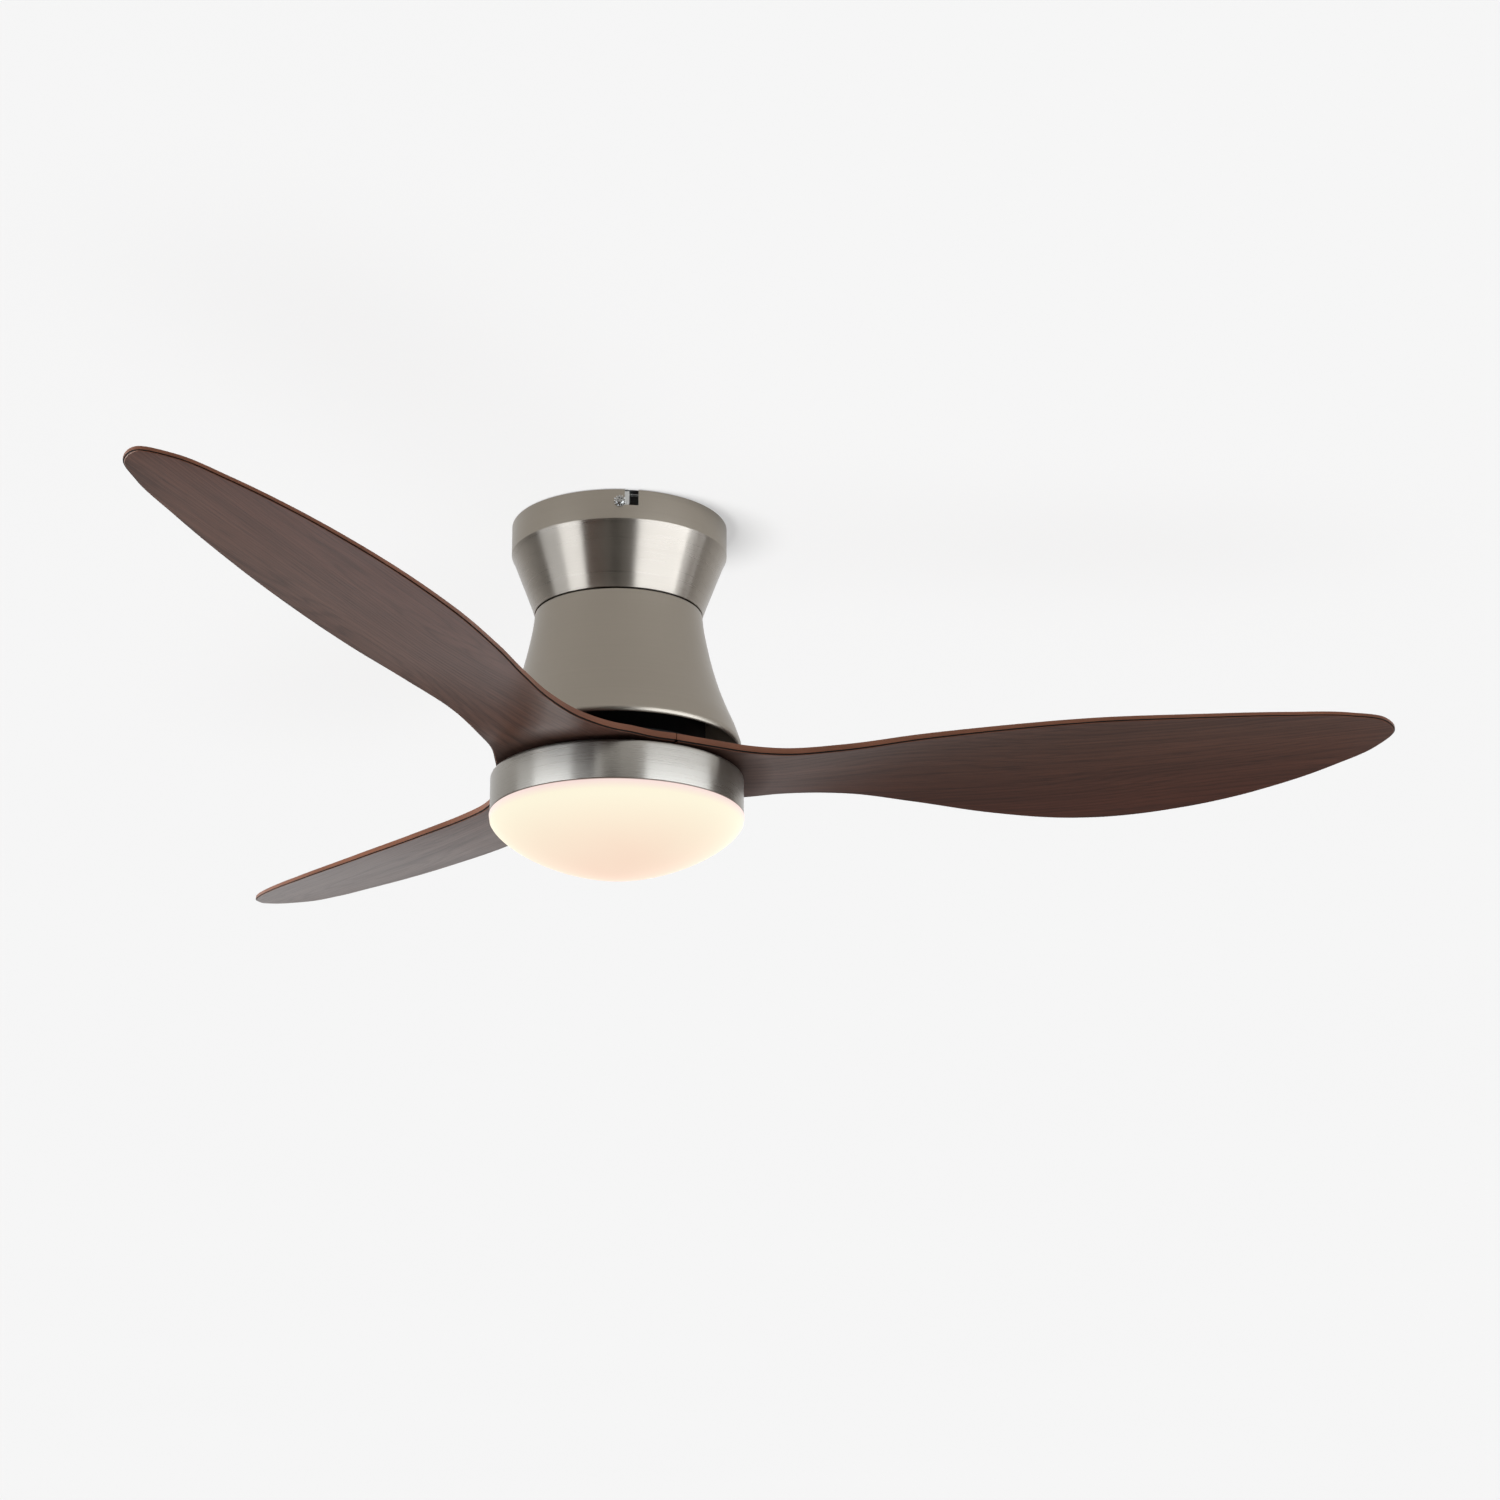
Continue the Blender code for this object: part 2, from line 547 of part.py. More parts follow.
def build_stator(body):
    core_radius = 34.0
    neck_half = 3.5
    shoe_inner = 58.5
    shoe_half_angle = math.radians(12.0)
    outline = []
    for index in range(TOOTH_COUNT):
        middle = 2 * math.pi * index / TOOTH_COUNT
        root = math.asin(neck_half / core_radius)
        neck_top = math.asin(neck_half / shoe_inner)
        outline += [polar(core_radius, middle - root)[:2], polar(shoe_inner, middle - neck_top)[:2],
                    polar(shoe_inner + 1.5, middle - shoe_half_angle)[:2]]
        outline += [polar(STATOR_RADIUS, middle + shoe_half_angle * side)[:2] for side in (-1, 0, 1)]
        outline += [polar(shoe_inner + 1.5, middle + shoe_half_angle)[:2],
                    polar(shoe_inner, middle + neck_top)[:2], polar(core_radius, middle + root)[:2]]
    bore = circle(SHAFT_RADIUS + HOLE_GAP, SMALL_SIDES)
    add_object("stator_core", plate(outline, [bore], *STATOR_Z), "lamination_steel", body)

    inner, outer = 37.0, 57.5
    wire_half, slot_half = 8.0, neck_half + GAP
    window = (STATOR_Z[0] - GAP, STATOR_Z[1] + GAP)
    loop = plate(rectangle(-wire_half, wire_half, *COIL_Z), [rectangle(-slot_half, slot_half, *window)],
                 -outer, -inner)
    bus = ((35.0, COIL_Z[1] - 2.5), (39.5, COIL_Z[1] - 2.5), (39.5, COIL_Z[1] + 1.0), (35.0, COIL_Z[1] + 1.0))
    windings = add_object("stator_windings", turned(bus, TOOTH_COUNT * 2), "copper", body)
    for index in range(TOOTH_COUNT):
        # The upright loop faces -Y before it is turned to its tooth.
        turn = 2 * math.pi * index / TOOTH_COUNT - math.pi / 2
        tool = add_tool(f"coil_{index + 1}", loop, body, rotation=(math.pi / 2, 0, turn + math.pi))
        combine(windings, tool, "UNION")


def build_rotor(body):
    half = BEARING_WIDTH / 2
    seat = OUTER_RACE[1] + HOLE_GAP
    hub = seat + 4.2
    lip = 15.5
    skirt = ROTOR_RADIUS - 4
    upper_lip = UPPER_BEARING_Z + half + GAP
    upper_top = upper_lip + 3.7
    upper = ((lip, upper_top), (66, upper_top), (ROTOR_RADIUS, upper_top - 10), (ROTOR_RADIUS, ROTOR_SPLIT_Z),
             (skirt, ROTOR_SPLIT_Z), (skirt, upper_top - 11.5), (64.5, upper_top - 3), (hub, upper_top - 3),
             (hub, UPPER_BEARING_Z - half - 2), (seat, UPPER_BEARING_Z - half - 2), (seat, upper_lip),
             (lip, upper_lip))
    add_object("rotor_upper_cover", turned(upper, ROTOR_SIDES), "black_cast", body)
    lower_lip = LOWER_BEARING_Z - half - GAP
    bottom = lower_lip - 4.7
    lower = ((ROTOR_RADIUS, ROTOR_SPLIT_Z - GAP), (ROTOR_RADIUS, bottom + 21), (64, bottom), (lip, bottom),
             (lip, lower_lip), (seat, lower_lip), (seat, LOWER_BEARING_Z + half), (hub, LOWER_BEARING_Z + half),
             (hub, bottom + 3.5), (61.5, bottom + 3.5), (skirt, bottom + 21.5), (skirt, ROTOR_SPLIT_Z - GAP))
    cover = add_object("rotor_lower_cover", turned(lower, ROTOR_SIDES), "black_cast", body)
    magnet = ((63.5, COIL_Z[0]), (skirt - GAP, COIL_Z[0]), (skirt - GAP, COIL_Z[1]), (63.5, COIL_Z[1]))
    add_object("magnet_ring", turned(magnet, ROTOR_SIDES), "ferrite", body)

    carrier_top = bottom - GAP
    carrier_bottom = BLADE_HUB_Z + BLADE_ROOT_THICKNESS / 2 + GAP
    fixing_radius = 28.0
    screw_hole = 2.0 + HOLE_GAP
    holes = [circle(14.0, SMALL_SIDES)]
    holes += [circle(screw_hole, SCREW_SIDES, place[:2]) for place in blade_screw_places()]
    hole = turned(((0, -6), (screw_hole, -6), (screw_hole, 6), (0, 6)), SCREW_SIDES)
    for index in range(3):
        place = polar(fixing_radius, blade_angle(index))
        holes.append(circle(screw_hole, SCREW_SIDES, place[:2]))
        tool = add_tool(f"cover_hole_{index + 1}", hole, body, (place[0], place[1], bottom))
        combine(cover, tool, "DIFFERENCE")
        add_object(f"carrier_screw_{index + 1}", screw_mesh(2.0, 8.0, 3.6, 2.2), "zinc_steel", body,
                   (place[0], place[1], carrier_bottom - GAP))
    add_object("blade_carrier", plate(circle(88.0, ROTOR_SIDES), holes, carrier_bottom, carrier_top),
               "black_steel", body)


# ---------------------------------------------------------------- blades

def blade_angle(index):
    return BLADE_REST_ANGLE + 2 * math.pi * index / BLADE_COUNT


def blade_screw_places():
    places = []
    for index in range(BLADE_COUNT):
        for side in (-1, 1):
            places.append(polar(BLADE_SCREW_RADIUS, blade_angle(index) + side * BLADE_SCREW_ANGLE))
    return places


def blade_thickness(distance):
    """Thick at the hub plate, thinning quickly at first and then slowly to the tip."""
    along = min(max((distance - 90.0) / (BLADE_TIP[0] - 90.0), 0.0), 1.0)
    return BLADE_TIP_THICKNESS + (BLADE_ROOT_THICKNESS - BLADE_TIP_THICKNESS) * (1 - along) ** 1.6


def hub_row(radius, columns):
    """An arc of the hub plate, from seam to seam."""
    reach = math.pi / BLADE_COUNT - math.asin(BLADE_SEAM_GAP / 2 / radius)
    return [Vector(polar(radius, -reach + 2 * reach * step / columns, BLADE_HUB_Z))
            for step in range(columns + 1)]


def blade_mesh():
    """Rows of points across the blade, from the hub's arc to the tip, made into a solid."""
    columns = 5
    corner_row = hub_row(BLADE_SEAM_RADIUS, columns)
    edge = smooth_curve([corner_row[0], *HIGH_EDGE, BLADE_TIP, *LOW_EDGE[::-1], corner_row[-1]], 2)
    half_count = len(edge) // 2
    rows = [hub_row(radius, columns) for radius in (BLADE_HUB_RADIUS, 58.0, 82.0)]
    for index in range(half_count):
        high, low = edge[index], edge[-1 - index]
        # The hub's round bow dies away as the blade leaves the hub.
        bow = BLADE_SEAM_RADIUS / 2 * max(1 - index / 7, 0.0) ** 1.5
        row = []
        for step in range(columns + 1):
            share = step / columns
            point = high.lerp(low, share)
            point.x += bow * 4 * share * (1 - share)
            row.append(point)
        rows.append(row)
    rows.append([edge[half_count]])

    vertices = []
    index_rows = {1: [], -1: []}
    for side in (1, -1):
        for row in rows:
            first = len(vertices)
            for point in row:
                lift = side * blade_thickness(point.length) / 2
                vertices.append((point.x, point.y, point.z + lift))
            index_rows[side].append([first + step for step in range(len(row))])
    faces = []
    for side in (1, -1):
        grid = index_rows[side]
        for here, after in zip(grid[:-2], grid[1:-1]):
            for step in range(columns):
                faces.append((here[step], here[step + 1], after[step + 1], after[step]))
        tip = grid[-1][0]
        for step in range(columns):
            faces.append((grid[-2][step], grid[-2][step + 1], tip))
    top, bottom = index_rows[1], index_rows[-1]
    rim = [list(loop) for loop in (
        [row[0] for row in top[:-1]] + [top[-1][0]] + [row[-1] for row in top[-2::-1]] + top[0][-2:0:-1],
        [row[0] for row in bottom[:-1]] + [bottom[-1][0]] + [row[-1] for row in bottom[-2::-1]]
        + bottom[0][-2:0:-1])]
    count = len(rim[0])
    for step in range(count):
        after = (step + 1) % count
        faces.append((rim[0][step], rim[0][after], rim[1][after], rim[1][step]))
    return mesh_from(vertices, faces)


def build_blades(body):
    mesh = blade_mesh()
    underside = BLADE_HUB_Z - BLADE_ROOT_THICKNESS / 2
    seat = underside + 3.5
    hole = turned(((0, -3), (5.0, -3), (5.0, 3.5), (2.3, 3.5), (2.3, 12), (0, 12)), SCREW_SIDES)
    screw_number = 1
    for index in range(BLADE_COUNT):
        turn = blade_angle(index)
        blade = add_object(f"blade_{index + 1}", mesh.copy(), "walnut", body, rotation=(0, 0, turn))
        for side in (-1, 1):
            place = polar(BLADE_SCREW_RADIUS, turn + side * BLADE_SCREW_ANGLE)
            tool = add_tool(f"blade_hole_{screw_number}", hole, body, (place[0], place[1], underside))
            combine(blade, tool, "DIFFERENCE")
            add_object(f"blade_screw_{screw_number}", screw_mesh(2.0, 8.0, 4.0, 2.4), "zinc_steel", body,
                       (place[0], place[1], seat - GAP))
            screw_number += 1


# ---------------------------------------------------------------- light kit

def ring_screw_angle(index):
    return math.radians(30 + 120 * index)


def ledge_gap_angle(index):
    return math.radians(90 + 120 * index)


def build_light_ring(body):
    inner = RING_RADIUS - RING_WALL
    flange_bottom = RING_TOP_Z - 1.0
    outline = ((92.0, RING_TOP_Z), (102.6, RING_TOP_Z), (105.1, RING_TOP_Z - 1.0), (RING_RADIUS, RING_TOP_Z - 3.4),
               (RING_RADIUS, RING_BOTTOM_Z), (inner, RING_BOTTOM_Z), (inner, LEDGE_Z[0]),
               (LEDGE_RADIUS, LEDGE_Z[0]), (LEDGE_RADIUS, LEDGE_Z[1]), (inner, LEDGE_Z[1]),
               (inner, RING_TOP_Z - 3.6), (103.2, flange_bottom), (92.0, flange_bottom))
    ring = add_object("light_ring", turned(outline, SHELL_SIDES), "satin_nickel", body)
    gap_outline = arc(94.0, -LEDGE_GAP_HALF_ANGLE, LEDGE_GAP_HALF_ANGLE, 4)
    gap_outline += arc(inner + 0.2, LEDGE_GAP_HALF_ANGLE, -LEDGE_GAP_HALF_ANGLE, 4)
    gap = plate(gap_outline, [], LEDGE_Z[0] - 0.4, LEDGE_Z[1] + 0.4)
    screw_radius = 98.5
    hole = turned(((0, -3), (1.9, -3), (1.9, 3), (0, 3)), SCREW_SIDES)
    pan_holes = [circle(SHAFT_RADIUS + HOLE_GAP, SMALL_SIDES)]
    pan_bottom = PAN_TOP_Z - PAN_THICKNESS
    for index in range(3):
        tool = add_tool(f"ledge_gap_{index + 1}", gap, body, rotation=(0, 0, ledge_gap_angle(index)))
        combine(ring, tool, "DIFFERENCE")
        place = polar(screw_radius, ring_screw_angle(index), RING_TOP_Z)
        combine(ring, add_tool(f"ring_hole_{index + 1}", hole, body, place), "DIFFERENCE")
        pan_holes.append(circle(1.9, SCREW_SIDES, place[:2]))
        add_object(f"ring_screw_{index + 1}", screw_mesh(1.6, 2.7, 3.2, 2.0), "zinc_steel", body,
                   (place[0], place[1], pan_bottom - GAP))
    add_object("light_pan", plate(circle(102.3, ROTOR_SIDES), pan_holes, pan_bottom, PAN_TOP_Z),
               "black_steel", body)


def build_light_engine(body):
    rim_top = PAN_TOP_Z - PAN_THICKNESS - GAP
    tray = ((0, -250.0), (90.0, -250.0), (90.0, rim_top), (89.0, rim_top), (89.0, -249.0), (0, -249.0))
    add_object("heat_sink_tray", turned(tray, ROTOR_SIDES), "cast_aluminium", body)
    driver = add_object("led_driver", plate(rectangle(-40, 40, 20, 60), [], -249.0 + GAP, -231.0),
                        "white_plastic", body)
    bevel = driver.modifiers.new("edges", "BEVEL")
    bevel.width = 1.5 * MM
    bevel.segments = 1
    board_top = -250.0 - GAP
    add_object("led_board", plate(circle(80.0, ROTOR_SIDES), [], board_top - 1.6, board_top),
               "board_white", body)
    lens_top = board_top - 1.6 - GAP
    lens_bottom = lens_top - 1.5
    lens = add_object("led_lens_ring", turned(((45, lens_bottom), (75, lens_bottom), (75, lens_top),
                                               (45, lens_top)), ROTOR_SIDES), "clear_lens", body)
    domes = bmesh.new()
    for index in range(12):
        centre = polar(60.0, math.radians(30 * index + 7), lens_bottom - 0.5)
        bmesh.ops.create_uvsphere(domes, u_segments=6, v_segments=4, radius=1.0,
                                  matrix=Matrix.Translation(Vector(centre) * MM)
                                  @ Matrix.Diagonal((6.0 * MM, 6.0 * MM, 1.7 * MM, 1.0)))
    dome_mesh = bpy.data.meshes.new("lens_domes")
    domes.to_mesh(dome_mesh)
    domes.free()
    combine(lens, add_tool("lens_domes", dome_mesh, body), "UNION")


def dome_radius(share):
    """Radius of the dome's outside, as a share of the rim's, at a share of its depth."""
    return (1 - share ** 1.46) ** 0.62


def build_diffuser(body):
    depth = DOME_SPRING_Z - DOME_APEX_Z
    shares = (0.0, 0.1, 0.24, 0.41, 0.6, 0.78, 0.92)
    outer = [(DOME_RADIUS * dome_radius(share), DOME_SPRING_Z - depth * share) for share in shares]
    inner = [(radius * (1 - DOME_WALL / DOME_RADIUS), DOME_SPRING_Z - (DOME_SPRING_Z - height)
              * (1 - DOME_WALL / depth)) for radius, height in outer[::-1]]
    neck_outer, neck_inner, neck_top = 95.5, 93.5, -246.0
    outline = [(neck_inner, neck_top), (neck_outer, neck_top), (neck_outer, DOME_RIM_Z),
               (DOME_RADIUS - 0.4, DOME_RIM_Z), (DOME_RADIUS, DOME_RIM_Z - 0.4)]
    outline += outer + [(0, DOME_APEX_Z), (0, DOME_APEX_Z + DOME_WALL)] + inner[:-1]
    outline += [(DOME_RADIUS - DOME_WALL, DOME_SPRING_Z + 0.3), (neck_inner, DOME_RIM_Z - DOME_WALL)]
    diffuser = add_object("diffuser", turned(outline, SHELL_SIDES), "opal", body)
    lug_outline = arc(94.5, -LUG_HALF_ANGLE, LUG_HALF_ANGLE, 2) + arc(101.0, LUG_HALF_ANGLE, -LUG_HALF_ANGLE, 2)
    lug = plate(lug_outline, [], LEDGE_Z[1] + GAP, neck_top - 0.2)
    for index in range(3):
        turn = ledge_gap_angle(index) - DIFFUSER_TWIST
        combine(diffuser, add_tool(f"lug_{index + 1}", lug, body, rotation=(0, 0, turn)), "UNION")


def main():
    clear_scene()
    fixed = add_body("fan_mount_axis")
    canopy = add_body("canopy_axis")
    rotor = add_body("rotor_axis")
    upper_cage = add_body("upper_cage_axis")
    lower_cage = add_body("lower_cage_axis")
    light = add_body("diffuser_axis")
    build_bracket(fixed)
    build_hanger(fixed)
    build_yoke_mounts(fixed)
    build_canopy_fasteners(fixed)
    build_electrics(fixed)
    build_canopy(canopy)
    build_housing(fixed)
    build_shaft(fixed)
    build_bearing("upper", UPPER_BEARING_Z, fixed, rotor, upper_cage)
    build_bearing("lower", LOWER_BEARING_Z, fixed, rotor, lower_cage)
    build_stator(fixed)
    build_rotor(rotor)
    build_blades(rotor)
    build_light_ring(fixed)
    build_light_engine(fixed)
    build_diffuser(light)


main()
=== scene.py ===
"""Looks of the low-profile ceiling fan: fine turned shells, walnut blades and a lit opal dome.

Lengths named here are millimetres in the frame's own axes: the origin is the centre of the
ceiling face, +Z points up, and the fan hangs along -Z. Radii and heights of the large pieces
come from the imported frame; the profiles between them are the same curves as the solids'.
"""
import json
import math

import bmesh
import bpy
from mathutils import Matrix, Vector
from mathutils.geometry import delaunay_2d_cdt, tessellate_polygon


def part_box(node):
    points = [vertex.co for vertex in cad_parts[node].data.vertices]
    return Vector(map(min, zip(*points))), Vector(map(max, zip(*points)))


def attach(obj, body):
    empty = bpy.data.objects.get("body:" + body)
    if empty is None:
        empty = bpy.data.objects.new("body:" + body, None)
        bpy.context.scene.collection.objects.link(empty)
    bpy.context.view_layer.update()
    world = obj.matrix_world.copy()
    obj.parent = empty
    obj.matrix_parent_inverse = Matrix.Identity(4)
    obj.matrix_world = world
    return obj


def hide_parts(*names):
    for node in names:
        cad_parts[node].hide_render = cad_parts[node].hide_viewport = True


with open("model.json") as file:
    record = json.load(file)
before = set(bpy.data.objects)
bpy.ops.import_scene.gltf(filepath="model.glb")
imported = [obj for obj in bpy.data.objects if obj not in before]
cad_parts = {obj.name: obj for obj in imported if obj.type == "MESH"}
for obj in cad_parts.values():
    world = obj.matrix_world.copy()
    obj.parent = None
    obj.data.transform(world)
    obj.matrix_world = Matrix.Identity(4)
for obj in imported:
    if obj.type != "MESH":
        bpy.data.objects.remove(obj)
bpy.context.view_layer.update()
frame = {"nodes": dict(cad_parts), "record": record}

MM = 0.001
FINE_SIDES = 192
MEDIUM_SIDES = 96
SCREW_SIDES = 40
SOFT_EDGE = 0.25
# The chamfer of a plate that only cuts: too small to matter
SHARP_EDGE = 0.01
QUARTER = math.pi / 2
# Turns a piece drawn flat, with +Z out of it, to face the fan's front
FACING_FRONT = Matrix.Rotation(QUARTER, 4, "X")


# ---- frame measures

def node_radius(node):
    """Largest half width of a node across X, in millimetres."""
    low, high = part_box(node)
    return (high.x - low.x) / 2 / MM


def node_heights(node):
    """(bottom, top) of a node in millimetres."""
    low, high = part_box(node)
    return low.z / MM, high.z / MM


def node_centre(node):
    low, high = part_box(node)
    return (low + high) / 2 / MM


# ---- mesh tools

def mesh_from(vertices, faces, kinds=None):
    """A mesh in metres with its faces turned outward; kinds holds each face's material index."""
    shape = bmesh.new()
    corners = [shape.verts.new(Vector(vertex) * MM) for vertex in vertices]
    for number, face in enumerate(faces):
        made = shape.faces.new([corners[index] for index in face])
        if kinds:
            made.material_index = kinds[number]
    bmesh.ops.recalc_face_normals(shape, faces=shape.faces)
    mesh = bpy.data.meshes.new("mesh")
    shape.to_mesh(mesh)
    shape.free()
    return mesh


def rounded(outline, cut, steps=3, smallest_turn=20.0):
    """Rounds the corners of a closed 2-D outline, leaving gentle turns as they are."""
    points = [Vector(point) for point in outline]
    result = []
    for index, point in enumerate(points):
        before = points[index - 1] - point
        after = points[(index + 1) % len(points)] - point
        if before.length < 1e-6 or after.length < 1e-6:
            continue
        turn = math.degrees(before.angle(-after))
        reach = min(cut, before.length * 0.45, after.length * 0.45)
        if turn < smallest_turn or point.x == 0:
            result.append(tuple(point))
            continue
        start = point + before.normalized() * reach
        end = point + after.normalized() * reach
        for step in range(steps + 1):
            t = step / steps
            place = start * (1 - t) ** 2 + point * 2 * t * (1 - t) + end * t ** 2
            result.append(tuple(place))
    return result


def bridge(here, after):
    """The four-sided faces between two loops of as many corner numbers."""
    return list(zip(here, here[1:] + here[:1], after[1:] + after[:1], after))


def turned(outline, sides=FINE_SIDES):
    """Revolves a closed (radius, height) outline about Z; radius 0 makes a pole."""
    vertices = []
    rings = []
    for radius, height in outline:
        count = 1 if radius == 0 else sides
        first = len(vertices)
        for step in range(count):
            vertices.append((*polar(radius, 2 * math.pi * step / sides), height))
        rings.append([first + step % count for step in range(sides)])
    faces = []
    for ring, following in zip(rings, rings[1:] + rings[:1]):
        if ring[0] == ring[1] and following[0] == following[1]:
            continue
        faces += [tuple(dict.fromkeys(corners)) for corners in bridge(ring, following)]
    return mesh_from(vertices, faces)


def flat_faces(loops):
    """Triangles that fill an outline and leave its holes open, as corner numbers."""
    return tessellate_polygon([[Vector((x, y, 0)) for x, y in loop] for loop in loops])


def plate(outer, holes, bottom, top, edge=SOFT_EDGE):
    """A flat sheet with holes between two heights, its rims softened by a small chamfer."""
    loops = [list(outer)] + [list(hole) for hole in holes]
    inset_loops = [offset_loop(outer, edge)] + [offset_loop(hole, -edge) for hole in holes]
    levels = ((bottom, inset_loops), (bottom + edge, loops),
              (top - edge, loops), (top, inset_loops))
    vertices = []
    for height, level_loops in levels:
        for loop in level_loops:
            vertices += [(x, y, height) for x, y in loop]
    count = sum(len(loop) for loop in loops)
    faces = []
    for corners in flat_faces(inset_loops):
        faces.append(tuple(corners))
        faces.append(tuple(index + 3 * count for index in corners))
    first = 0
    for _ in levels[1:]:
        for loop in loops:
            here = list(range(first, first + len(loop)))
            faces += bridge(here, [index + count for index in here])
            first += len(loop)
    return mesh_from(vertices, faces)


def offset_loop(loop, distance):
    """Moves a closed outline sideways: inward where the distance is positive."""
    points = [Vector(point) for point in loop]
    area = sum(a.x * b.y - b.x * a.y for a, b in zip(points, points[1:] + points[:1]))
    side = distance if area > 0 else -distance
    moved = []
    for index, point in enumerate(points):
        before = (point - points[index - 1]).normalized()
        after = (points[(index + 1) % len(points)] - point).normalized()
        along = before + after
        if along.length < 1e-6:
            along = after
        along.normalize()
        stretch = 1 / max(along.dot(after), 0.5)
        moved.append(tuple(point + Vector((-along.y, along.x)) * side * stretch))
    return moved


def arc(radius, start, end, count, centre=(0, 0)):
    points = []
    for step in range(count + 1):
        x, y = polar(radius, start + (end - start) * step / count)
        points.append((centre[0] + x, centre[1] + y))
    return points


def circle(radius, sides, centre=(0, 0)):
    return arc(radius, 0, 2 * math.pi, sides, centre)[:-1]


def polar(radius, angle):
    return (radius * math.cos(angle), radius * math.sin(angle))


def spin(angle):
    """A turn about the fan's axis."""
    return Matrix.Rotation(angle, 4, "Z")


def lift(height):
    """A move along Z, in millimetres."""
    return Matrix.Translation((0, 0, height * MM))


def between(start, end, parts):
    """The points that divide a straight line into equal parts, without its ends."""
    start, end = Vector(start), Vector(end)
    return [tuple(start.lerp(end, step / parts)) for step in range(1, parts)]


def smooth_curve(points, steps):
    """A curve through the points, with tangents weighted by the chord lengths."""
    points = [Vector(point) for point in points]
    chords = [(after - here).length for here, after in zip(points, points[1:])]
    tangents = [(points[1] - points[0]) / chords[0]]
    for index in range(1, len(points) - 1):
        before = (points[index] - points[index - 1]) / chords[index - 1]
        after = (points[index + 1] - points[index]) / chords[index]
        share = chords[index] / (chords[index - 1] + chords[index])
        tangents.append(before * share + after * (1 - share))
    tangents.append((points[-1] - points[-2]) / chords[-1])
    curve = []
    for index, chord in enumerate(chords):
        for step in range(steps):
            t = step / steps
            curve.append(points[index] * (2 * t**3 - 3 * t**2 + 1)
                         + tangents[index] * chord * (t**3 - 2 * t**2 + t)
                         + points[index + 1] * (3 * t**2 - 2 * t**3)
                         + tangents[index + 1] * chord * (t**3 - t**2))
    curve.append(points[-1])
    return curve


def shell_inside(profile, wall):
    """The inner side of a thin shell from its outer (radius, height) profile, in reverse order."""
    inner = []
    for index in range(len(profile)):
        before = Vector(profile[max(index - 1, 0)])
        after = Vector(profile[min(index + 1, len(profile) - 1)])
        along = (after - before).normalized()
        inner.append((profile[index][0] + along.y * wall, profile[index][1] - along.x * wall))
    return inner[::-1]


def add_object(name, data):
    thing = bpy.data.objects.new(name, data)
    bpy.context.scene.collection.objects.link(thing)
    return thing


def add_piece(name, mesh, materials, body, replaced=(), sharp=40.0):
    """Links a finished piece: its materials, the CAD nodes it stands for, and the body it rides on."""
    mesh.name = name
    mesh.shade_smooth()
    mesh.set_sharp_from_angle(angle=math.radians(sharp))
    for material in materials:
        mesh.materials.append(material)
    piece = add_object(name, mesh)
    if replaced:
        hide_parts(*replaced)
    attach(piece, body)
    return piece


def cut_away(mesh, cutters):
    """Cuts closed meshes out of a mesh with an exact Boolean; the result has no materials yet."""
    work = add_object("work", mesh)
    tools = []
    for cutter, matrix in cutters:
        tool = add_object("tool", cutter)
        tool.matrix_world = matrix
        modifier = work.modifiers.new("cut", "BOOLEAN")
        modifier.operation = "DIFFERENCE"
        modifier.solver = "EXACT"
        modifier.object = tool
        tools.append(tool)
    bpy.context.view_layer.update()
    graph = bpy.context.evaluated_depsgraph_get()
    result = bpy.data.meshes.new_from_object(work.evaluated_get(graph))
    result.materials.clear()
    for used in (work, *tools):
        bpy.data.objects.remove(used)
    return result


# ---- material tools

class NodeTree:
    """A short way to write a node tree."""

    def __init__(self, tree):
        self.tree = tree

    def add(self, kind, **settings):
        node = self.tree.nodes.new(kind)
        for key, value in settings.items():
            setattr(node, key, value)
        return node

    def link(self, source, target):
        self.tree.links.new(source, target)

    def value(self, target, source):
        """Feeds a socket from another socket or from a plain value."""
        if isinstance(source, bpy.types.NodeSocket):
            self.link(source, target)
        else:
            target.default_value = source

    def math(self, operation, first, second=0.0, clamp=False):
        node = self.add("ShaderNodeMath", operation=operation, use_clamp=clamp)
        self.value(node.inputs[0], first)
        self.value(node.inputs[1], second)
        return node.outputs[0]

    def weighted(self, *terms):
        """The sum of (source, weight) terms."""
        total = None
        for source, weight in terms:
            part = source if weight == 1 else self.math("MULTIPLY", source, weight)
            total = part if total is None else self.math("ADD", total, part)
        return total

    def remap(self, source, low, high, new_low=0.0, new_high=1.0, ease="LINEAR"):
        node = self.add("ShaderNodeMapRange", interpolation_type=ease)
        self.value(node.inputs["Value"], source)
        limits = {"From Min": low, "From Max": high, "To Min": new_low, "To Max": new_high}
        for key, number in limits.items():
            node.inputs[key].default_value = number
        return node.outputs["Result"]


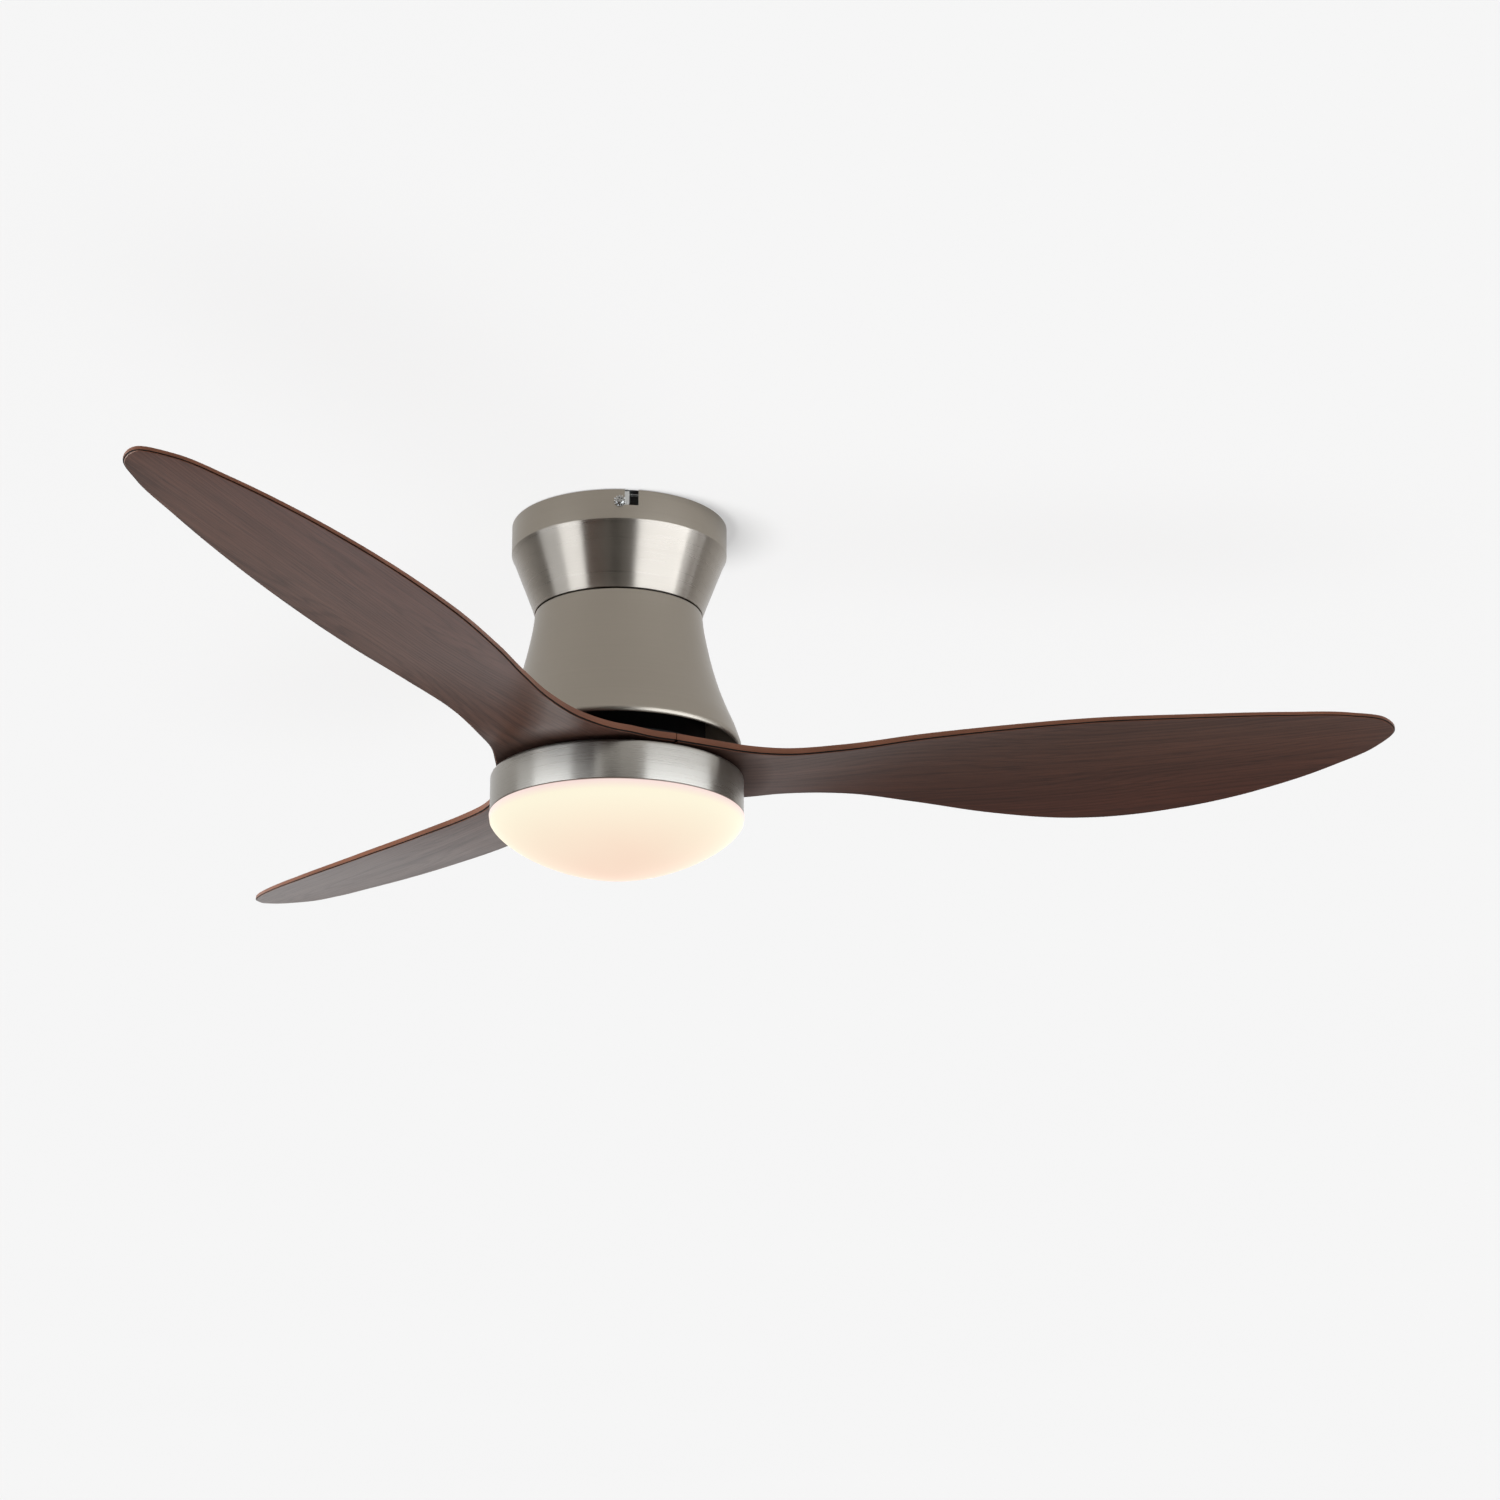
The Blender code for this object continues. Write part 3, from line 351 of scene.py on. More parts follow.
class Nodes(NodeTree):
    """The same for a procedural material; turn is the piece's own direction about Z."""

    def __init__(self, name, turn=0.0):
        self.turn = turn
        self.material = bpy.data.materials.new(name)
        self.material.use_nodes = True
        super().__init__(self.material.node_tree)
        self.shader = self.tree.nodes["Principled BSDF"]

    def coordinates(self, scale=(1, 1, 1), shift=(0, 0, 0)):
        """Object coordinates in metres, turned into the piece's own direction and then scaled."""
        place = self.add("ShaderNodeTexCoord").outputs["Object"]
        if self.turn:
            rotate = self.add("ShaderNodeVectorRotate", rotation_type="Z_AXIS")
            rotate.inputs["Angle"].default_value = -self.turn
            self.link(place, rotate.inputs["Vector"])
            place = rotate.outputs["Vector"]
        mapping = self.add("ShaderNodeMapping")
        mapping.inputs["Scale"].default_value = scale
        mapping.inputs["Location"].default_value = shift
        self.link(place, mapping.inputs["Vector"])
        return mapping.outputs["Vector"]

    def axis(self, letter):
        """One of the piece's own coordinates, in metres."""
        separate = self.add("ShaderNodeSeparateXYZ")
        self.link(self.coordinates(), separate.inputs["Vector"])
        return separate.outputs[letter]

    def noise(self, scale, detail, roughness=0.5, shift=(0, 0, 0)):
        """Noise in object space; scale holds its cells in a metre along X, Y and Z."""
        node = self.add("ShaderNodeTexNoise")
        node.inputs["Scale"].default_value = 1.0
        node.inputs["Detail"].default_value = detail
        node.inputs["Roughness"].default_value = roughness
        self.link(self.coordinates(scale, shift), node.inputs["Vector"])
        return node.outputs["Fac"]

    def mix(self, factor, first, second):
        node = self.add("ShaderNodeMix", data_type="RGBA")
        self.value(node.inputs["Factor"], factor)
        for socket, colour in ((node.inputs[6], first), (node.inputs[7], second)):
            given = isinstance(colour, bpy.types.NodeSocket)
            self.value(socket, colour if given else (*colour, 1.0))
        return node.outputs[2]

    def bump(self, height, strength, distance):
        node = self.add("ShaderNodeBump")
        node.inputs["Strength"].default_value = strength
        node.inputs["Distance"].default_value = distance
        self.link(height, node.inputs["Height"])
        self.link(node.outputs["Normal"], self.shader.inputs["Normal"])
        return node

    def set(self, **sockets):
        """Sets sockets of the Principled shader by name, with _ for a space."""
        for key, source in sockets.items():
            target = self.shader.inputs[key.replace("_", " ")]
            if isinstance(source, tuple):
                source = (*source, 1.0)
            self.value(target, source)
        return self


def nickel(name, brushed, colour):
    """Plated steel turned on a lathe: fine lines round the axis that spread highlights along it."""
    nodes = Nodes(name)
    lines = nodes.noise((3, 3, 2400), 4.0, 0.6)
    patches = nodes.noise((14, 14, 30), 3.0)
    dark = tuple(part * 0.93 for part in colour)
    nodes.set(Base_Color=nodes.mix(nodes.remap(lines, 0.3, 0.7), dark, colour), Metallic=1.0)
    base = 0.3 if brushed else 0.36
    rough = nodes.weighted((nodes.remap(lines, 0.3, 0.7, base - 0.04, base + 0.04), 1),
                           (nodes.remap(patches, 0.3, 0.7, -0.02, 0.02), 1))
    nodes.set(Roughness=rough, Anisotropic=0.9 if brushed else 0.2, Anisotropic_Rotation=0.25)
    tangent = nodes.add("ShaderNodeTangent", direction_type="RADIAL", axis="Z")
    nodes.link(tangent.outputs["Tangent"], nodes.shader.inputs["Tangent"])
    nodes.bump(lines, 0.11 if brushed else 0.05, 0.00004)
    return nodes.material


def walnut(name, turn, seed):
    """Dark walnut film: long flame lines along the blade, fine fibres and pores, satin lacquer."""
    nodes = Nodes(name, turn)
    across = nodes.axis("Y")
    drift = nodes.noise((3.0, 14.0, 0.01), 1.0, 0.3, shift=(seed, seed, 0))
    waver = nodes.noise((20, 160, 0.01), 4.0, 0.65, shift=(seed, 2, 0))
    phase = nodes.weighted((across, 700.0), (drift, 95.0), (waver, 8.0))
    line = nodes.math("POWER", nodes.remap(nodes.math("SINE", phase), -1.0, 1.0), 3.0)
    fibre = nodes.noise((9, 520, 1), 4.0, 0.6, shift=(seed, 0, 0))
    streak = nodes.noise((2.2, 60, 1), 3.0, 0.55, shift=(seed + 3, 0, 0))
    pores = nodes.noise((34, 1300, 1), 2.0, shift=(seed + 7, 0, 0))
    tone = nodes.weighted((fibre, 0.6), (streak, 0.5), (line, -0.13))
    # Painted sheen: the film is greyer and a little lighter toward the high edge, and redder toward
    # the low edge.
    red = nodes.remap(across, -0.02, 0.09)
    dark = nodes.mix(red, WALNUT_SHEENED_DARK, WALNUT_DARK_RED)
    light = nodes.mix(red, WALNUT_SHEENED_LIGHT, WALNUT_LIGHT_RED)
    colour = nodes.mix(nodes.remap(tone, 0.32, 0.70), dark, light)
    pore_mask = nodes.remap(pores, 0.56, 0.70)
    colour = nodes.mix(nodes.math("MULTIPLY", pore_mask, 0.55), colour, WALNUT_PORE_AND_SHADE)
    # A darker, duller hub stands in for the shadow between the blades and the light ring.
    radius_squared = nodes.weighted((nodes.math("POWER", nodes.axis("X"), 2.0), 1),
                                    (nodes.math("POWER", across, 2.0), 1))
    shade = nodes.remap(nodes.math("SQRT", radius_squared), HUB_SHADE_END, HUB_SHADE_START)
    colour = nodes.mix(nodes.math("MULTIPLY", shade, 0.55), colour, WALNUT_PORE_AND_SHADE)
    satin = nodes.remap(tone, 0.3, 0.8, 0.36, 0.30)
    nodes.set(Base_Color=colour, Roughness=nodes.weighted((satin, 1), (shade, 0.3)),
              Specular_IOR_Level=0.38)
    nodes.bump(nodes.weighted((fibre, 0.5), (pore_mask, -1.0)), 0.22, 0.00008)
    return nodes.material


def walnut_edge(name, dark, light):
    """The blade's milled edge: red-brown lacquer with layers that show faintly along it."""
    nodes = Nodes(name)
    layers = nodes.noise((6, 6, 1400), 3.0, 0.6)
    drift = nodes.noise((20, 20, 20), 2.0)
    share = nodes.weighted((layers, 0.6), (drift, 0.5))
    nodes.set(Base_Color=nodes.mix(nodes.remap(share, 0.35, 0.75), dark, light),
              Roughness=nodes.remap(share, 0.3, 0.8, 0.5, 0.4), Specular_IOR_Level=0.25)
    nodes.bump(layers, 0.12, 0.00005)
    return nodes.material


def opal():
    """Satin acrylic lit from inside: warm, rosier toward the bottom and at the rim."""
    nodes = Nodes("opal_lit")
    apex = node_heights("diffuser")[0] * MM
    height = nodes.axis("Z")
    cloud = nodes.noise((11, 11, 11), 2.0)
    glow = OPAL_BOTTOM
    # Heights above the apex over which the glow turns to the next colour, from the bottom up
    for start, end, colour in ((0.0, 0.04, OPAL_MIDDLE), (0.044, 0.05, OPAL_RIM)):
        glow = nodes.mix(nodes.remap(height, apex + start, apex + end), glow, colour)
    glow = nodes.mix(nodes.remap(cloud, 0.35, 0.65, 0.0, 0.15), glow, OPAL_CLOUD)
    glow = nodes.mix(nodes.remap(height, apex + 0.0509, apex + 0.0517), glow, OPAL_SHADED)
    nodes.set(Base_Color=(0.07, 0.065, 0.06), Roughness=nodes.remap(cloud, 0.3, 0.7, 0.40, 0.46))
    nodes.set(Emission_Color=glow, Emission_Strength=1.0)
    nodes.bump(nodes.noise((900, 900, 900), 2.0), 0.05, 0.00003)
    return nodes.material


def plain_metal(name, colour, roughness, grain, contrast, bump):
    """Plated, ground or cast metal with its own grain."""
    nodes = Nodes(name)
    fine = nodes.noise(grain, 4.0, 0.6)
    broad = nodes.noise((35, 35, 35), 2.0)
    share = nodes.weighted((fine, 0.6), (broad, 0.4))
    dark = tuple(part * (1 - 2 * contrast) for part in colour)
    nodes.set(Base_Color=nodes.mix(nodes.remap(share, 0.3, 0.7), dark, colour), Metallic=1.0,
              Roughness=nodes.remap(share, 0.3, 0.7, roughness * 1.2, roughness * 0.85))
    nodes.bump(fine, bump, 0.0001)
    return nodes.material


def moulded(name, colour, roughness, texture=1600, bump=0.1):
    """Moulded plastic or rubber with a fine eroded texture and slight shade changes."""
    nodes = Nodes(name)
    fine = nodes.noise((texture,) * 3, 2.0, 0.6)
    broad = nodes.noise((25, 25, 25), 3.0)
    dark = tuple(part * 0.86 for part in colour)
    nodes.set(Base_Color=nodes.mix(nodes.remap(broad, 0.3, 0.7), dark, colour),
              Roughness=nodes.remap(fine, 0.3, 0.7, roughness * 1.12, roughness * 0.9),
              Specular_IOR_Level=0.4)
    nodes.bump(fine, bump, 0.00006)
    return nodes.material


NICKEL = (0.272, 0.240, 0.198)
RING_NICKEL = (0.310, 0.289, 0.257)
NICKEL_BRIGHT = (0.300, 0.266, 0.226)
# The first two walnut colours are greyed by painted sheen for the high edge; the red ones are the low
# edge's.
WALNUT_SHEENED_DARK = (0.082, 0.036, 0.0240)
WALNUT_SHEENED_LIGHT = (0.180, 0.083, 0.056)
WALNUT_DARK_RED = (0.072, 0.0235, 0.0140)
WALNUT_LIGHT_RED = (0.150, 0.050, 0.0300)
# Near-black of the pores, also the colour of the hub's painted shade
WALNUT_PORE_AND_SHADE = (0.024, 0.010, 0.007)
# Distances from the axis, in metres, where the hub's shade is full and where it has gone
HUB_SHADE_START = 0.106
HUB_SHADE_END = 0.132
EDGE_DARK = (0.150, 0.053, 0.025)
EDGE_LIGHT = (0.265, 0.100, 0.052)
# Near-black of the groove along the blade's edge: painted shade in the recess
GROOVE_SHADE_DARK = (0.008, 0.004, 0.003)
GROOVE_SHADE_LIGHT = (0.014, 0.007, 0.005)
OPAL_BOTTOM = (0.90, 0.66, 0.52)
OPAL_MIDDLE = (0.955, 0.885, 0.69)
OPAL_RIM = (0.90, 0.70, 0.66)
OPAL_CLOUD = (0.955, 0.89, 0.72)
OPAL_SHADED = (0.16, 0.11, 0.09)


# colour, roughness, grain in cells a metre, contrast and bump of each metal
METALS = {
    "screw_steel": ((0.36, 0.35, 0.33), 0.26, (900, 900, 900), 0.2, 0.1),
    "zinc_steel": ((0.56, 0.56, 0.54), 0.34, (60, 700, 60), 0.12, 0.05),
    "bright_steel": ((0.66, 0.65, 0.63), 0.2, (40, 40, 2400), 0.08, 0.08),
    "cast_aluminium": ((0.5, 0.5, 0.51), 0.48, (700, 700, 700), 0.12, 0.35),
    "lamination_steel": ((0.22, 0.22, 0.23), 0.45, (20, 20, 2000), 0.25, 0.5),
    "copper": ((0.66, 0.28, 0.13), 0.3, (1800, 1800, 1800), 0.2, 0.4),
}
# colour, roughness, texture in cells a metre and bump of the rest; texture and bump may be left out
MOULDED = {
    "black_steel": ((0.010, 0.010, 0.010), 0.55, 900, 0.2),
    # The rotor bell's black paint, made near-black and rough also as painted shade in the gap under
    # the housing
    "black_cast": ((0.008, 0.008, 0.008), 0.72, 1100, 0.3),
    "ferrite": ((0.045, 0.045, 0.05), 0.6, 1400, 0.3),
    "rubber": ((0.022, 0.022, 0.022), 0.75, 1200, 0.25),
    "white_plastic": ((0.78, 0.78, 0.75), 0.45),
    "board_white": ((0.86, 0.87, 0.85), 0.32, 900, 0.05),
    "clear_lens": ((0.9, 0.92, 0.93), 0.12, 500, 0.03),
    "lead_sheath": ((0.72, 0.72, 0.69), 0.5, 1500, 0.08),
}


def make_materials():
    materials = {
        "nickel_satin": nickel("nickel_satin", False, NICKEL),
        "nickel_brushed": nickel("nickel_brushed", True, NICKEL_BRIGHT),
        "nickel_ring": nickel("nickel_ring", True, RING_NICKEL),
        "walnut_edge": walnut_edge("walnut_edge", EDGE_DARK, EDGE_LIGHT),
        # The groove gets the edge's lacquer in near-black, as painted shade
        "walnut_groove": walnut_edge("walnut_groove", GROOVE_SHADE_DARK, GROOVE_SHADE_LIGHT),
        "opal": opal(),
    }
    for name, finish in METALS.items():
        materials[name] = plain_metal(name, *finish)
    for name, finish in MOULDED.items():
        materials[name] = moulded(name, *finish)
    return materials


# ---- canopy and housing

# (radius, height) down the outside of each shell
CANOPY_PROFILE = ((90.0, -30.0), (86.1, -40.0), (82.3, -50.0), (78.5, -60.0), (74.7, -70.0),
                  (71.9, -78.3))
CANOPY_BAND_HEIGHT = 25.8
CANOPY_MOUTH_RADIUS = 66.5
SLOT_HALF_WIDTH = 3.2
SLOT_REACH = 15.5
SLOT_TOP = 15.0
SLOT_LEG_START = 4.0
HOUSING_PROFILE = ((71.2, -81.0), (72.1, -90.0), (73.7, -100.0), (75.7, -110.0), (77.9, -120.0),
                   (80.4, -130.0), (83.3, -140.0), (86.5, -150.0), (90.3, -160.0), (94.4, -170.0),
                   (98.8, -180.0), (102.4, -190.0), (103.9, -194.5))
HOUSING_COLLAR_RADIUS = 56.0
LIP_START_RADIUS = 102.0
LIP_HEIGHT = 4.0
SHELL_WALL = 1.0
ROLLED_WALL = 0.9


def build_canopy(materials):
    radius = node_radius("canopy")
    bottom, top = node_heights("canopy")
    crease = top - CANOPY_BAND_HEIGHT
    rolled = bottom + ROLLED_WALL
    cone = smooth_curve(CANOPY_PROFILE, 3)
    outer = [(radius, top), (radius - 0.1, crease)] + cone + [(71.6, bottom)]
    inner = [(70.9, rolled)] + shell_inside(cone, SHELL_WALL)[1:]
    inner += [(radius - SHELL_WALL - 0.1, crease - 0.3), (radius - SHELL_WALL, top)]
    mouth = [(CANOPY_MOUTH_RADIUS, bottom), (CANOPY_MOUTH_RADIUS, rolled)]
    outline = rounded(outer + mouth + inner, 0.45, 4, 15.0)
    # The L slot, seen from outside with the screw at its origin: a closed leg, then an open one
    slot = arc(SLOT_HALF_WIDTH, QUARTER, 3 * QUARTER, 20)
    slot += [(SLOT_REACH, -SLOT_HALF_WIDTH), (SLOT_REACH, SLOT_TOP),
             (SLOT_LEG_START, SLOT_TOP), (SLOT_LEG_START, SLOT_HALF_WIDTH)]
    tool = plate(slot, [], 84, 96, SHARP_EDGE)
    place = lift(node_centre("canopy_screw_front").z) @ FACING_FRONT
    cutters = [(tool.copy(), spin(turn) @ place) for turn in (0, math.pi)]
    piece = add_piece("canopy_shell", cut_away(turned(outline), cutters),
                      [materials["nickel_satin"], materials["nickel_brushed"]],
                      "canopy", ["canopy"])
    for face in piece.data.polygons:
        face.material_index = int(face.center.z / MM < crease - 0.2)


def build_housing(materials):
    bottom, top = node_heights("motor_housing")
    outer = smooth_curve(HOUSING_PROFILE, 2)
    inner = shell_inside(outer, SHELL_WALL)[2:]
    inner[-1] = (70.0, top - ROLLED_WALL)
    width = node_radius("motor_housing") - LIP_START_RADIUS
    lip = [(LIP_START_RADIUS + width * math.cos(angle),
            bottom + LIP_HEIGHT - LIP_HEIGHT * math.sin(angle))
           for angle in (QUARTER * step / 14 for step in range(15))]
    # The lip's inner side, where its sheet curls back
    lip += [(101.3, bottom + 0.3), (101.1, bottom + 1.0), (101.5, bottom + 2.2)]
    collar = [(HOUSING_COLLAR_RADIUS, top - ROLLED_WALL), (HOUSING_COLLAR_RADIUS, top), (70.6, top)]
    mesh = turned(rounded(collar + outer[:-1] + lip + inner, 0.4, 3, 30.0))
    add_piece("housing_shell", mesh, [materials["nickel_satin"]], "fan_mount",
              ["motor_housing"], sharp=50.0)


# ---- blades

BLADE_COUNT = 3
BLADE_REST_ANGLE = math.radians(-1.35)
BLADE_HUB_RADIUS = 34.0
BLADE_HUB_Z = -216.6
BLADE_SEAM_RADIUS = 100.5
BLADE_SEAM_GAP = 0.5
BLADE_ROOT_THICKNESS = 7.0
BLADE_TIP_THICKNESS = 3.6
BLADE_TAPER_START = 90.0
BLADE_CAMBER = 3.0
# The section of the camber grows and fades along the blade between these stations
CAMBER_START, CAMBER_END = 140.0, 648.0
# Keeps the panels just inside the solids' outline
OUTLINE_MARGIN = 0.1
GRID_SPACING = 5.5
GRID_MARGIN = 3.0
BLADE_TIP = (660.0, 16.8, -173.9)
# (distance from the fan's axis, sideways reach, height) down each edge, from hub to tip
HIGH_EDGE = ((80.0, -70.4, -216.5), (105.0, -57.3, -216.3), (140.0, -47.1, -215.6),
             (190.0, -41.0, -209.7), (250.0, -45.3, -202.2), (320.0, -49.7, -195.3),
             (400.0, -49.3, -187.8), (480.0, -42.4, -182.0), (560.0, -31.4, -176.0),
             (615.0, -20.6, -172.5), (648.0, -5.5, -171.6))
LOW_EDGE = ((62.0, 78.0, -216.8), (105.0, 61.3, -218.6), (140.0, 52.0, -218.2),
            (190.0, 53.4, -217.6), (250.0, 68.6, -220.2), (320.0, 89.8, -224.0),
            (400.0, 105.4, -224.0), (480.0, 104.2, -216.3), (560.0, 86.6, -202.6),
            (615.0, 62.5, -189.6), (648.0, 40.0, -180.0))


def blade_thickness(distance):
    along = (distance - BLADE_TAPER_START) / (BLADE_TIP[0] - BLADE_TAPER_START)
    along = min(max(along, 0.0), 1.0)
    return BLADE_TIP_THICKNESS + (BLADE_ROOT_THICKNESS - BLADE_TIP_THICKNESS) * (1 - along) ** 1.6


class BladeSurface:
    """Height of the blade's middle surface, twisting along the blade with a slight hollow."""

    def __init__(self):
        # (distance from the axis, height on the blade's own axis, slope across the blade)
        stations = [(0.0, BLADE_HUB_Z, 0.0), (60.0, BLADE_HUB_Z, 0.0), (85.0, BLADE_HUB_Z, -0.004)]
        for high, low in list(zip(HIGH_EDGE, LOW_EDGE))[1:]:
            slope = (low[2] - high[2]) / (low[1] - high[1])
            stations.append((high[0], high[2] - slope * high[1], slope))
        last_slope = stations[-1][2]
        stations.append((BLADE_TIP[0], BLADE_TIP[2] - last_slope * BLADE_TIP[1], last_slope))
        # The slope is scaled up so that both curves bend by similar amounts.
        self.scale = 100.0
        self.curve = smooth_curve([(s, centre, slope * self.scale)
                                   for s, centre, slope in stations], 8)

    def height(self, x, y):
        if x <= self.curve[0].x:
            return BLADE_HUB_Z
        for before, after in zip(self.curve, self.curve[1:]):
            if x <= after.x:
                break
        share = min((x - before.x) / (after.x - before.x), 1.0)
        point = before.lerp(after, share)
        return point.y + point.z / self.scale * y + self.camber(x, y)

    def camber(self, x, y):
        """The slight hollow of the underside, deepest in the middle of the blade's width."""
        if not CAMBER_START < x < CAMBER_END:
            return 0.0
        pairs = zip(HIGH_EDGE, LOW_EDGE, HIGH_EDGE[1:], LOW_EDGE[1:])
        high, low, next_high, next_low = next(pair for pair in pairs if x <= pair[2][0])
        share = (x - high[0]) / (next_high[0] - high[0])
        start = high[1] + (next_high[1] - high[1]) * share
        end = low[1] + (next_low[1] - low[1]) * share
        across = min(max((y - start) / (end - start), 0.0), 1.0)
        along = (x - CAMBER_START) / (CAMBER_END - CAMBER_START)
        return BLADE_CAMBER * 4 * across * (1 - across) * math.sin(math.pi * along) ** 0.8


def blade_outline():
    """The blade's plan: along the high edge, round the tip, back along the low edge and the hub."""
    reach = math.pi / BLADE_COUNT
    corner_turn = math.asin(BLADE_SEAM_GAP / 2 / BLADE_SEAM_RADIUS)
    hub_turn = math.asin(BLADE_SEAM_GAP / 2 / BLADE_HUB_RADIUS)
    high_corner = polar(BLADE_SEAM_RADIUS, -reach + corner_turn)
    low_corner = polar(BLADE_SEAM_RADIUS, reach - corner_turn)
    flat = [high_corner] + [point[:2] for point in HIGH_EDGE] + [BLADE_TIP[:2]]
    flat += [point[:2] for point in LOW_EDGE[::-1]] + [low_corner]
    edge = smooth_curve(flat, 14)
    hub = arc(BLADE_HUB_RADIUS, reach - hub_turn, -reach + hub_turn, 24)
    return edge + between(low_corner, hub[0], 12) + hub + between(hub[-1], high_corner, 12)


def inside_points(outline, spacing, margin):
    """A staggered grid of points inside an outline, kept clear of its edge."""
    shape = [Vector(point) for point in outline]
    low_x, high_x = min(p.x for p in shape), max(p.x for p in shape)
    low_y, high_y = min(p.y for p in shape), max(p.y for p in shape)
    points = []
    row = 0
    y = low_y
    while y < high_y:
        crossings = []
        for here, after in zip(shape, shape[1:] + shape[:1]):
            if (here.y > y) != (after.y > y):
                slant = (after.x - here.x) / (after.y - here.y)
                crossings.append(here.x + (y - here.y) * slant)
        crossings.sort()
        for start, end in zip(crossings[::2], crossings[1::2]):
            x = low_x + (row % 2) * spacing / 2
            while x < high_x:
                if start + margin < x < end - margin:
                    point = Vector((x, y))
                    near = min((point - other).length_squared for other in shape[::2])
                    if near > margin * margin:
                        points.append(point)
                x += spacing
        y += spacing * 0.87
        row += 1
    return points


def blade_mesh():
    surface = BladeSurface()
    outline = blade_outline()
    film, edge, groove = 0, 1, 2
    # Round the section from the top face to the underside: side of the blade, distance in from
    # the outline, depth below that side's face, share of the thickness added to the depth, and
    # the kind of the strip that ends there
    section = ((1, 0.7, 0.0, 0.0, film), (1, 0.22, 0.2, 0.0, edge), (1, 0.0, 0.7, 0.0, edge),
               (-1, 0.0, 0.1, 0.2, edge), (-1, 1.0, 0.0, 0.2, groove),
               (-1, 1.0, 0.35, 0.0, groove), (-1, 1.35, 0.0, 0.0, edge))
    vertices = []
    loops = []
    for side, inset, depth, share, _ in section:
        first = len(vertices)
        for x, y in offset_loop(outline, inset + OUTLINE_MARGIN):
            thickness = blade_thickness(math.hypot(x, y))
            reach = thickness / 2 - depth - share * thickness
            vertices.append((x, y, surface.height(x, y) + side * reach))
        loops.append(list(range(first, len(vertices))))
    faces = []
    kinds = []
    for here, after, row in zip(loops, loops[1:], section[1:]):
        faces += bridge(here, after)
        kinds += [row[4]] * len(outline)
    for loop, side in ((loops[0], 1), (loops[-1], -1)):
        rim = [Vector(vertices[index][:2]) for index in loop]
        points = rim + inside_points(rim, GRID_SPACING, GRID_MARGIN)
        made = delaunay_2d_cdt(points, [], [list(range(len(rim)))], 1, 1e-5)
        places, triangles, sources = made[0], made[2], made[3]
        index_of = []
        for point, origins in zip(places, sources):
            on_rim = [loop[origin] for origin in origins if origin < len(rim)]
            if on_rim:
                index_of.append(on_rim[-1])
                continue
            half = blade_thickness(point.length) / 2
            index_of.append(len(vertices))
            vertices.append((point.x, point.y, surface.height(point.x, point.y) + side * half))
        for corners in triangles:
            faces.append(tuple(index_of[index] for index in corners))
            kinds.append(film)
    return mesh_from(vertices, faces, kinds)


def build_blades(materials):
    mesh = blade_mesh()
    for index in range(BLADE_COUNT):
        turn = BLADE_REST_ANGLE + 2 * math.pi * index / BLADE_COUNT
        film = walnut(f"walnut_{index + 1}", turn, 4.0 + 5.3 * index)
        panel = mesh.copy()
        panel.transform(spin(turn))
        add_piece(f"blade_panel_{index + 1}", panel,
                  [film, materials["walnut_edge"], materials["walnut_groove"]],
                  "rotor", [f"blade_{index + 1}"], sharp=35.0)


CARRIER_HOLE_RADIUS = 14.0
# (radius, height over the lowest point) round the rotor's lower half below its straight wall:
# outside down to the shaft hole, then round the bearing seat and up inside
BELL_WALL = (70.0, 74.0)
BELL_PROFILE = ((74.0, 21.0), (64.0, 0.0), (15.5, 0.0), (15.5, 4.7), (20.3, 4.7), (20.3, 17.0),
                (24.5, 17.0), (24.5, 3.5), (61.5, 3.5), (70.0, 21.5))


def build_carrier(materials):
    bottom, top = node_heights("blade_carrier")
    radius = node_radius("blade_carrier")
    disc = [(CARRIER_HOLE_RADIUS, bottom), (radius, bottom), (radius, top),
            (CARRIER_HOLE_RADIUS, top)]
    add_piece("carrier_disc", turned(rounded(disc, 0.8, 4), MEDIUM_SIDES),
              [materials["black_steel"]], "rotor", ["blade_carrier"])
    low, high = node_heights("rotor_lower_cover")
    bell = [(BELL_WALL[1], high)] + [(r, low + z) for r, z in BELL_PROFILE] + [(BELL_WALL[0], high)]
    add_piece("rotor_bell", turned(rounded(bell, 1.2, 4), MEDIUM_SIDES),
              [materials["black_cast"]], "rotor", ["rotor_lower_cover"])


# ---- light kit

RING_WALL = 1.0
RING_TOP_HOLE_RADIUS = 92.0
RING_SHOULDER = 3.2
# The ledge inside the ring that holds the dome, from the ring's bottom up
LEDGE_HEIGHTS = (6.6, 8.1)
LEDGE_RADIUS = 96.5
LEDGE_GAP_HALF_ANGLE = 0.175
DOME_WALL = 2.5
DOME_SPRING_Z = -261.5
DOME_RIM_Z = -257.5
DOME_RIM_ROUNDING = 0.9
DOME_STEPS = 44
NECK_RADII = (93.5, 95.5)


def build_ring(materials):
    radius = node_radius("light_ring")
    bottom, top = node_heights("light_ring")
    inner = radius - RING_WALL
    low, high = (bottom + height for height in LEDGE_HEIGHTS)
    centre = (radius - RING_SHOULDER, top - RING_SHOULDER)
    outline = [(RING_TOP_HOLE_RADIUS, top)] + arc(RING_SHOULDER, QUARTER, 0, 8, centre)
    outline += [(radius, bottom), (inner, bottom), (inner, low), (LEDGE_RADIUS, low),
                (LEDGE_RADIUS, high), (inner, high)]
    outline += arc(RING_SHOULDER - RING_WALL, 0, QUARTER, 6, centre)
    outline += [(RING_TOP_HOLE_RADIUS, top - RING_WALL)]
    half = LEDGE_GAP_HALF_ANGLE
    gap = plate(arc(94.0, -half, half, 8) + arc(inner + 0.2, half, -half, 8), [],
                low - 0.6, high + 0.5, SHARP_EDGE)
    cutters = [(gap.copy(), spin(math.radians(90 + 120 * index))) for index in range(3)]
    mesh = cut_away(turned(rounded(outline, 0.35, 3)), cutters)
    add_piece("ring_shell", mesh, [materials["nickel_ring"]], "fan_mount",
              ["light_ring"])


